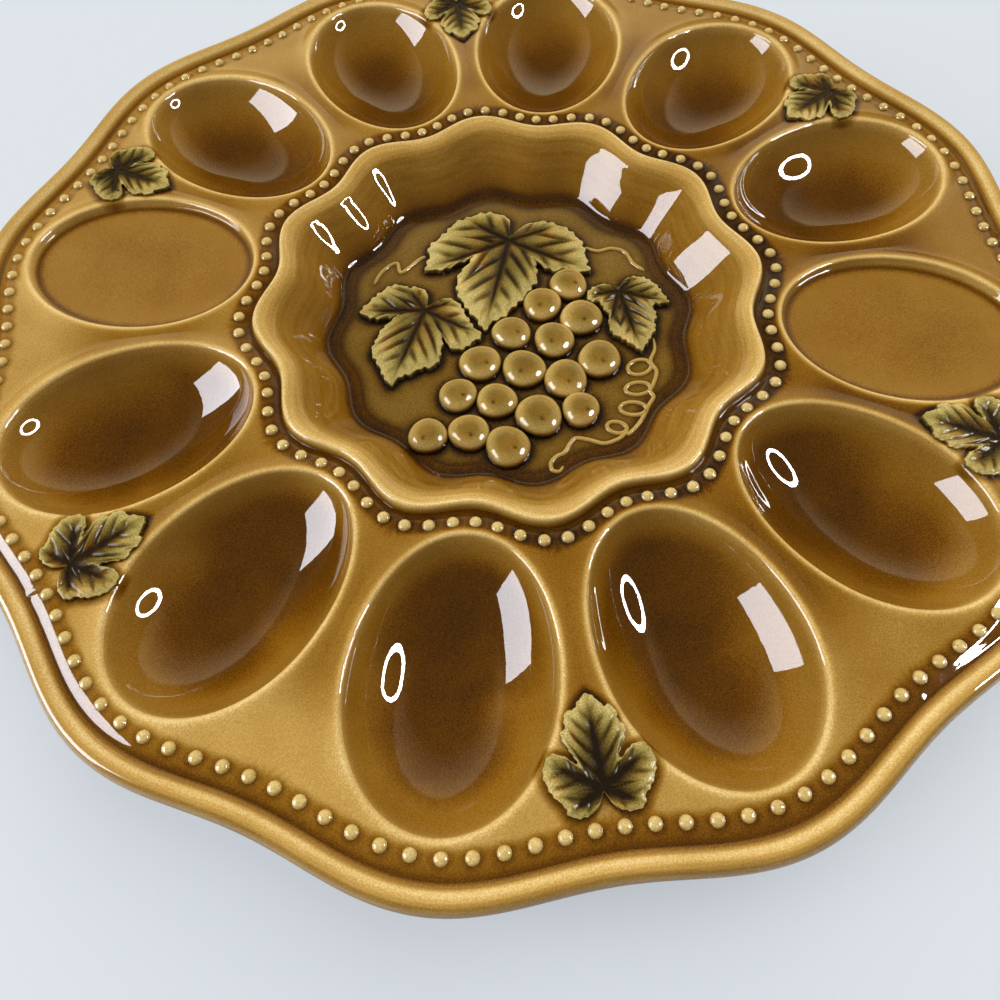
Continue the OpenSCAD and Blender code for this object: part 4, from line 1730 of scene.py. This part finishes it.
@dataclass(frozen=True)
class AreaLight:
    """A rectangular soft light that looks at the platter; it lights in general or shows in the gloss."""

    name: str
    at: Point
    size: tuple[float, float]
    watts: float
    colour: Point
    in_gloss: bool
    aim: Point = (0, 0, 0.02)

    def build(self) -> None:
        """Hang the light."""
        light = bpy.data.lights.new(self.name, "AREA")
        light.shape = "RECTANGLE"
        light.size, light.size_y = self.size
        light.energy = self.watts
        light.color = self.colour
        lamp = bpy.data.objects.new(self.name, light)
        lamp.visible_camera = False
        lamp.visible_diffuse = not self.in_gloss
        lamp.visible_glossy = self.in_gloss
        aim = np.array(self.aim) - np.array(self.at)
        back = -aim / np.linalg.norm(aim)
        lamp.matrix_world = pose(*facing_axes(back), back, self.at)
        bpy.context.scene.collection.objects.link(lamp)


AREA_LIGHTS = (
    AreaLight("window", (-1.398, -0.565, 0.69), (1.1, 0.95), 46, (0.93, 0.94, 1.0), True),
    AreaLight("west_fill", (-1.398, -0.4, 0.85), (1.1, 0.95), 17, (0.92, 0.95, 1.0), False),
    AreaLight("north_fill", (0.45, 0.88, 1.47), (2.0, 2.0), 25, (1.0, 0.98, 0.95), False),
)


@dataclass(frozen=True)
class RingLamp:
    """A glowing ring east of the platter, which shows as a small ring in each well."""

    centre: Point = (0.83, 0.0, 0.56)
    ring_r: float = 0.16
    tube_r: float = 0.021
    around: int = 64
    sides: int = 12
    strength: float = 110

    def build(self) -> None:
        """Hang the ring: a torus that faces the platter and glows."""
        centre = np.array(self.centre)
        along, across = round_bearings(self.around)[:, None], round_bearings(self.sides)[None, :]
        back = -centre / np.linalg.norm(centre)
        right, up = facing_axes(back)
        spoke = right * np.cos(along)[..., None] + up * np.sin(along)[..., None]
        out = (self.ring_r + self.tube_r * np.cos(across))[..., None]
        rows = centre + spoke * out + back * (self.tube_r * np.sin(across))[..., None]
        quads = grid_quads(self.around, self.sides, wrap=True)
        material, kit = new_material("lamp_glow")
        nodes = kit.tree.nodes
        nodes.remove(nodes["Principled BSDF"])
        glow = kit.add("Emission", {"Strength": self.strength})
        kit.feed(nodes["Material Output"], {"Surface": glow.outputs[0]})
        ring = mesh_object("ring_lamp", rows.reshape(-1, 3), quads.tolist(), material)
        ring.visible_camera = False
        ring.visible_diffuse = False


@dataclass(frozen=True)
class Table:
    """A wide pale table top, which the camera sees a little brighter than it is lit."""

    half: float = 4.0
    colour: Point = (228, 234, 242)
    glow: Point = (218, 226, 234)
    glow_share: float = 0.6
    roughness: float = 0.6

    def build(self) -> None:
        """Lay the table at z = 0."""
        half = self.half
        material, kit = new_material("pale_table")
        nodes = kit.tree.nodes
        shader = nodes["Principled BSDF"]
        kit.feed(shader, {"Base Color": srgb(*self.colour), "Roughness": self.roughness})
        glow = kit.add("Emission", {"Color": srgb(*self.glow)})
        seen = kit.times(kit.add("LightPath").outputs["Is Camera Ray"], self.glow_share)
        mixed = kit.mixed_shader(seen, shader.outputs[0], glow.outputs[0])
        kit.feed(nodes["Material Output"], {"Surface": mixed})
        corners = np.array([(-half, -half, 0), (half, -half, 0), (half, half, 0), (-half, half, 0)])
        table = mesh_object("table", corners, [[0, 1, 2, 3]], material)


@dataclass(frozen=True)
class Surround:
    """A dim warm surround with a pale round patch high in the north, and pale to the camera.

    The patch shows as a soft veil in the wells. It is a disc of directions, told by the
    cosine to its middle, and it fades towards the zenith.
    """

    colour: Point = (250, 238, 200)
    strength: float = 0.15
    veil_colour: Point = (255, 240, 198)
    veil_strength: float = 1.15
    veil_way: Point = (-0.0418, 0.3394, 0.9397)
    veil_cosines: tuple[float, float] = (0.624, 0.683)
    veil_fade_z: tuple[float, float] = (0.45, 0.78)
    seen_colour: Point = (219, 228, 234)

    def build(self) -> None:
        """Make the world of the scene."""
        world = bpy.data.worlds.new("studio")
        bpy.context.scene.world = world
        world.use_nodes = True
        kit = NodeKit(world.node_tree)
        nodes = kit.tree.nodes
        base = nodes["Background"]
        kit.feed(base, {"Color": srgb(*self.colour), "Strength": self.strength})
        way = kit.add("TexCoord").outputs["Generated"]
        facing = kit.add("VectorMath")
        facing.operation = "DOT_PRODUCT"
        kit.feed(facing, {0: way, 1: self.veil_way})
        disc = kit.span(facing.outputs["Value"], *self.veil_cosines, 0.0, 1.0, soft=True)
        fade = kit.span(kit.split(way)[2], *self.veil_fade_z, self.veil_strength, 0.0, soft=False)
        veil = kit.add("Background", {"Color": srgb(*self.veil_colour), "Strength": kit.times(disc, fade)})
        lit = kit.add("AddShader", {0: base.outputs[0], 1: veil.outputs[0]})
        seen = kit.add("Background", {"Color": srgb(*self.seen_colour), "Strength": 1.0})
        to_camera = kit.add("LightPath").outputs["Is Camera Ray"]
        mixed = kit.mixed_shader(to_camera, lit.outputs[0], seen.outputs[0])
        kit.feed(nodes["World Output"], {"Surface": mixed})


@dataclass(frozen=True)
class PhotoCamera:
    """The photograph's view, fitted to its rows of beads: place, angles and focal length."""

    at: Point = (0.018145, -0.147532, 0.19358)
    azimuth_deg: float = 9.0587
    elevation_deg: float = 64.3433
    roll_deg: float = 2.2187
    focal_px: float = 752.30
    image_px: float = 1000.0
    sensor_mm: float = 36.0
    clip_start: float = 0.01

    def build(self) -> None:
        """Set the camera up and make it the scene's."""
        angles = (self.azimuth_deg, self.elevation_deg, self.roll_deg)
        azimuth, elevation, roll = (math.radians(v) for v in angles)
        level = math.cos(elevation)
        back = np.array([math.sin(azimuth) * level, -math.cos(azimuth) * level, math.sin(elevation)])
        right, up = facing_axes(back)
        c, s = math.cos(roll), math.sin(roll)
        lens = bpy.data.cameras.new("camera")
        lens.sensor_width = self.sensor_mm
        lens.lens = self.focal_px / self.image_px * self.sensor_mm
        lens.clip_start = self.clip_start
        camera = bpy.data.objects.new("camera", lens)
        camera.matrix_world = pose(c * right - s * up, s * right + c * up, back, self.at)
        bpy.context.scene.collection.objects.link(camera)
        bpy.context.scene.camera = camera


@dataclass(frozen=True)
class GlazeShop:
    """Makes the glazes. On the body the beads and the leaves by the rim darken the glaze round them.

    A leaf's shade falls from leaf_shade to nothing between two distances beyond its outline.
    The first leaf stands short of a whole spacing by leaf_offset of one.
    """

    form: PlatterForm
    leaf_stops: int = 31
    leaf_shade: float = 0.46
    leaf_shade_out: float = 3.2 * MM
    leaf_shade_in: float = 0.3 * MM
    leaf_offset: float = 0.25

    def bead_shade(self, kit: NodeKit, place: Socket, row: BeadRow) -> Socket:
        """Dark rings of gathered glaze round the beads of one row.

        The distance from a point to the nearest bead comes from its bearing, wrapped to the
        beads' spacing, and from its radius less the row's wavy radius.

        Args:
            kit: adds the nodes.
            place: object coordinates.
            row: the row of beads.

        Returns:
            Added thickness, from 0 away from the beads to the row's shade at a bead's foot.
        """
        x, y, _ = kit.split(place)
        at, radius = kit.math("ARCTAN2", y, x), kit.hypotenuse(x, y)
        lobe = kit.math("COSINE", kit.times(at, float(self.form.lobes)))
        ring = kit.plus(kit.times(lobe, row.wave), row.radius)
        turn = kit.plus(kit.times(at, row.count / TURN), 0.5 - row.start)
        along = kit.times(kit.times(kit.centred_share(turn), TURN / row.count), ring)
        near = kit.hypotenuse(along, kit.minus(radius, ring))
        foot = row.bead_d / 2
        return kit.span(near, foot + row.shade_out, foot - row.shade_in, 0.0, row.shade, soft=True)

    def leaf_round(self, kit: NodeKit, place: Socket, leaf: VineLeaf) -> Socket:
        """Dark glaze gathered round the six leaves by the rim.

        The bearing is folded into one leaf's sixth of the platter. A colour ramp gives the leaf's
        reach by the bearing about its stem, and the shade falls off beyond that reach.

        Args:
            kit: adds the nodes.
            place: object coordinates.
            leaf: one of the six, for its outline and place.

        Returns:
            Added thickness, from 0 away from the leaves.
        """
        leaves = self.form.rim_leaves
        x, y, _ = kit.split(place)
        radius = kit.hypotenuse(x, y)
        turn = kit.times(kit.math("ARCTAN2", y, x), leaves / TURN)
        bearing = kit.times(kit.centred_share(kit.plus(turn, 1 - self.leaf_offset)), TURN / leaves)
        stem_r = math.hypot(leaf.place[0], leaf.place[1])
        inwards = kit.minus(stem_r, kit.times(radius, kit.math("COSINE", bearing)))
        sideways = kit.times(kit.times(radius, kit.math("SINE", bearing)), -1.0)
        about = kit.math("ARCTAN2", sideways, inwards)
        share = kit.math("FRACT", kit.plus(kit.times(about, 1 / TURN), 1.0))
        line = leaf.outline(False) / leaf.length
        way = np.arctan2(line[:, 1], line[:, 0]) % TURN
        order = np.argsort(way)
        spots = np.linspace(0, 1, self.leaf_stops)
        reaches = np.interp(spots, way[order] / TURN, np.hypot(*line.T)[order], period=1.0)
        stops = [(spot, (reach, reach, reach, 1)) for spot, reach in zip(spots.tolist(), reaches.tolist())]
        reach = kit.times(kit.ramp(stops, share), leaf.length)
        beyond = kit.minus(kit.hypotenuse(inwards, sideways), reach)
        return kit.span(
            beyond, self.leaf_shade_out, self.leaf_shade_in, 0.0, self.leaf_shade, soft=True
        )

    def glaze(
        self, finish: GlazeFinish, rows: tuple[BeadRow, ...] = (), leaf: VineLeaf | None = None
    ) -> bpy.types.Material:
        """Make a glaze: its thickness picks the colour, and it lies slightly uneven and glossy.

        Args:
            finish: the glaze's values.
            rows: rows of beads that darken it.
            leaf: a leaf by the rim, where the six of them darken it.

        Returns:
            The material.
        """
        material, kit = new_material(finish.name)
        shader = kit.tree.nodes["Principled BSDF"]
        place = kit.add("TexCoord").outputs["Object"]
        pool, tint = kit.add("Attribute"), kit.add("Attribute")
        pool.attribute_name, tint.attribute_name = "pool", "tint"
        cloud = kit.times(kit.noise(place, *finish.mottle_noise), finish.mottle)
        grain = kit.times(kit.noise(place, *finish.grain_noise), finish.grain)
        thick = kit.plus(pool.outputs["Fac"], kit.plus(cloud, grain))
        if leaf:
            shade = self.leaf_round(kit, place, leaf)
            for row in rows:
                shade = kit.plus(shade, self.bead_shade(kit, place, row))
            low, high = (self.form.field_z - below for below in finish.shade_below)
            above = kit.span(kit.split(place)[2], low, high, 0.0, 1.0, soft=False)
            thick = kit.math("MULTIPLY_ADD", shade, above, thick)
        patch = kit.times(kit.noise(place, *finish.patch_noise), finish.patch)
        green = kit.math("MULTIPLY_ADD", patch, tint.outputs["Fac"], tint.outputs["Fac"])
        mix = kit.add("Mix")
        mix.data_type = "RGBA"
        kit.feed(mix, {0: green, 6: kit.ramp(AMBER_RAMP, thick), 7: kit.ramp(GREEN_RAMP, thick)})
        ripple = kit.add("Bump", {
            "Strength": finish.ripple, "Distance": finish.ripple_h,
            "Height": kit.noise(place, *finish.ripple_noise),
        })
        kit.feed(shader, {
            "Base Color": mix.outputs[2], "Roughness": finish.roughness, "Specular IOR Level": 0.0,
            "Coat Weight": finish.coat, "Coat Roughness": finish.coat_roughness,
            "Coat IOR": finish.coat_ior, "Normal": ripple.outputs[0], "Coat Normal": ripple.outputs[0],
        })
        return material


@dataclass(frozen=True)
class FloorLeaf:
    """A leaf on the bowl's floor: length and place as shares of the floor's radius, turn, fineness."""

    kind: LeafKind
    length: float
    east: float
    north: float
    turn: float
    around: int
    levels: int
    height: float = 2.4 * MM

    def leaf(self, form: PlatterForm) -> VineLeaf:
        """The leaf at its real size and place.

        Args:
            form: gives the floor's radius and height.

        Returns:
            The leaf.
        """
        r = form.floor_r
        place = (self.east * r, self.north * r, form.floor_z)
        return VineLeaf(self.kind, self.length * r, self.height, place, self.turn, self.around, self.levels)


FLOOR_LEAVES = (
    FloorLeaf(LeafKind.LARGE, 0.664, -0.08, 0.59, -95, 640, 44),
    FloorLeaf(LeafKind.LEFT, 0.525, -0.49, 0.02, -101, 560, 36),
    FloorLeaf(LeafKind.RIGHT, 0.424, 0.59, 0.28, -70, 480, 32),
)


@dataclass(frozen=True)
class RimLeaves:
    """The leaves by the rim, alike and evenly spaced, with their tips inwards."""

    form: PlatterForm
    stem_r: float = 136.04 * MM
    first_deg: int = 45
    length: float = 19.8 * MM
    height: float = 1.9 * MM
    vein_w: float = 0.9 * MM
    tooth: float = 0.008

    def leaves(self) -> list[VineLeaf]:
        """Each leaf in its place, counterclockwise.

        Returns:
            The leaves.
        """
        found = []
        for i in range(self.form.rim_leaves):
            bearing = self.first_deg + 360 // self.form.rim_leaves * i
            at = math.radians(bearing)
            stem = (self.stem_r * math.cos(at), self.stem_r * math.sin(at), self.form.field_z)
            found.append(VineLeaf(
                LeafKind.RIM, self.length, self.height, stem, bearing + 180,
                vein_w=self.vein_w, tooth=self.tooth,
            ))
        return found


def build_studio() -> None:
    """Set the table, the surround, the lights and the camera."""
    for thing in (Table(), Surround(), *AREA_LIGHTS, RingLamp(), PhotoCamera()):
        thing.build()
    bpy.context.scene.view_settings.view_transform = "Standard"


def main() -> None:
    """Build the studio, then the platter piece by piece, and note the sizes."""
    logging.basicConfig(level=logging.INFO, format="%(message)s")
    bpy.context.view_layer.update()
    build_studio()

    form = PlatterForm()
    shop = GlazeShop(form)
    bowl_row = BeadRow(form, form.bowl_row_r, -form.bowl_wave, form.bowl_row_beads)
    rim_row = BeadRow(form, form.rim_row_r, form.rim_wave, form.rim_row_beads)
    rim_leaves = RimLeaves(form).leaves()
    amber = shop.glaze(BODY_FINISH, (bowl_row, rim_row), rim_leaves[0])
    raised = shop.glaze(RAISED_FINISH)
    leaf_glaze, grape_glaze = shop.glaze(LEAF_FINISH), shop.glaze(GRAPE_FINISH)

    bowl, bunch, tendrils = CentreBowl(form), GrapeBunch(form), Tendrils(form)
    vine_leaves = {f"vine_leaf_{spec.kind.value}": spec.leaf(form) for spec in FLOOR_LEAVES}
    relief = np.vstack([*[leaf.plan_outline() for leaf in vine_leaves.values()], bunch.plan_outline()])

    body = ["platter_body"]
    add_piece("well_ring", WellRing(form).build(), body, amber)
    add_piece("centre_bowl", bowl.build(relief, tendrils.plan_outline()), body, amber)
    add_piece("rim_and_underside", RimAndUnderside(form).build(), body, amber)
    add_piece("bowl_beads", bowl_row.build(), ["bowl_bead_row"], raised)
    add_piece("rim_beads", rim_row.build(), ["rim_bead_row"], raised)
    for i, leaf in enumerate(rim_leaves, 1):
        add_piece(f"rim_leaf_face_{i}", leaf.build(), [f"rim_leaf_{i}"], leaf_glaze)
    for node, leaf in vine_leaves.items():
        add_piece(f"{node}_face", leaf.build(), [node], leaf_glaze)
    for i, grape in enumerate(GRAPES, 1):
        add_piece(f"grape_skin_{i:02d}", bunch.skin(grape, i), [f"grape_{i:02d}"], grape_glaze)
    for node, lines in tendrils.lines().items():
        skin = Skin.join([tendrils.ridge(line, closed) for line, closed in lines])
        add_piece(f"{node}_line", skin, [node], raised)

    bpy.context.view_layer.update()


if __name__ == "__main__":
    main()
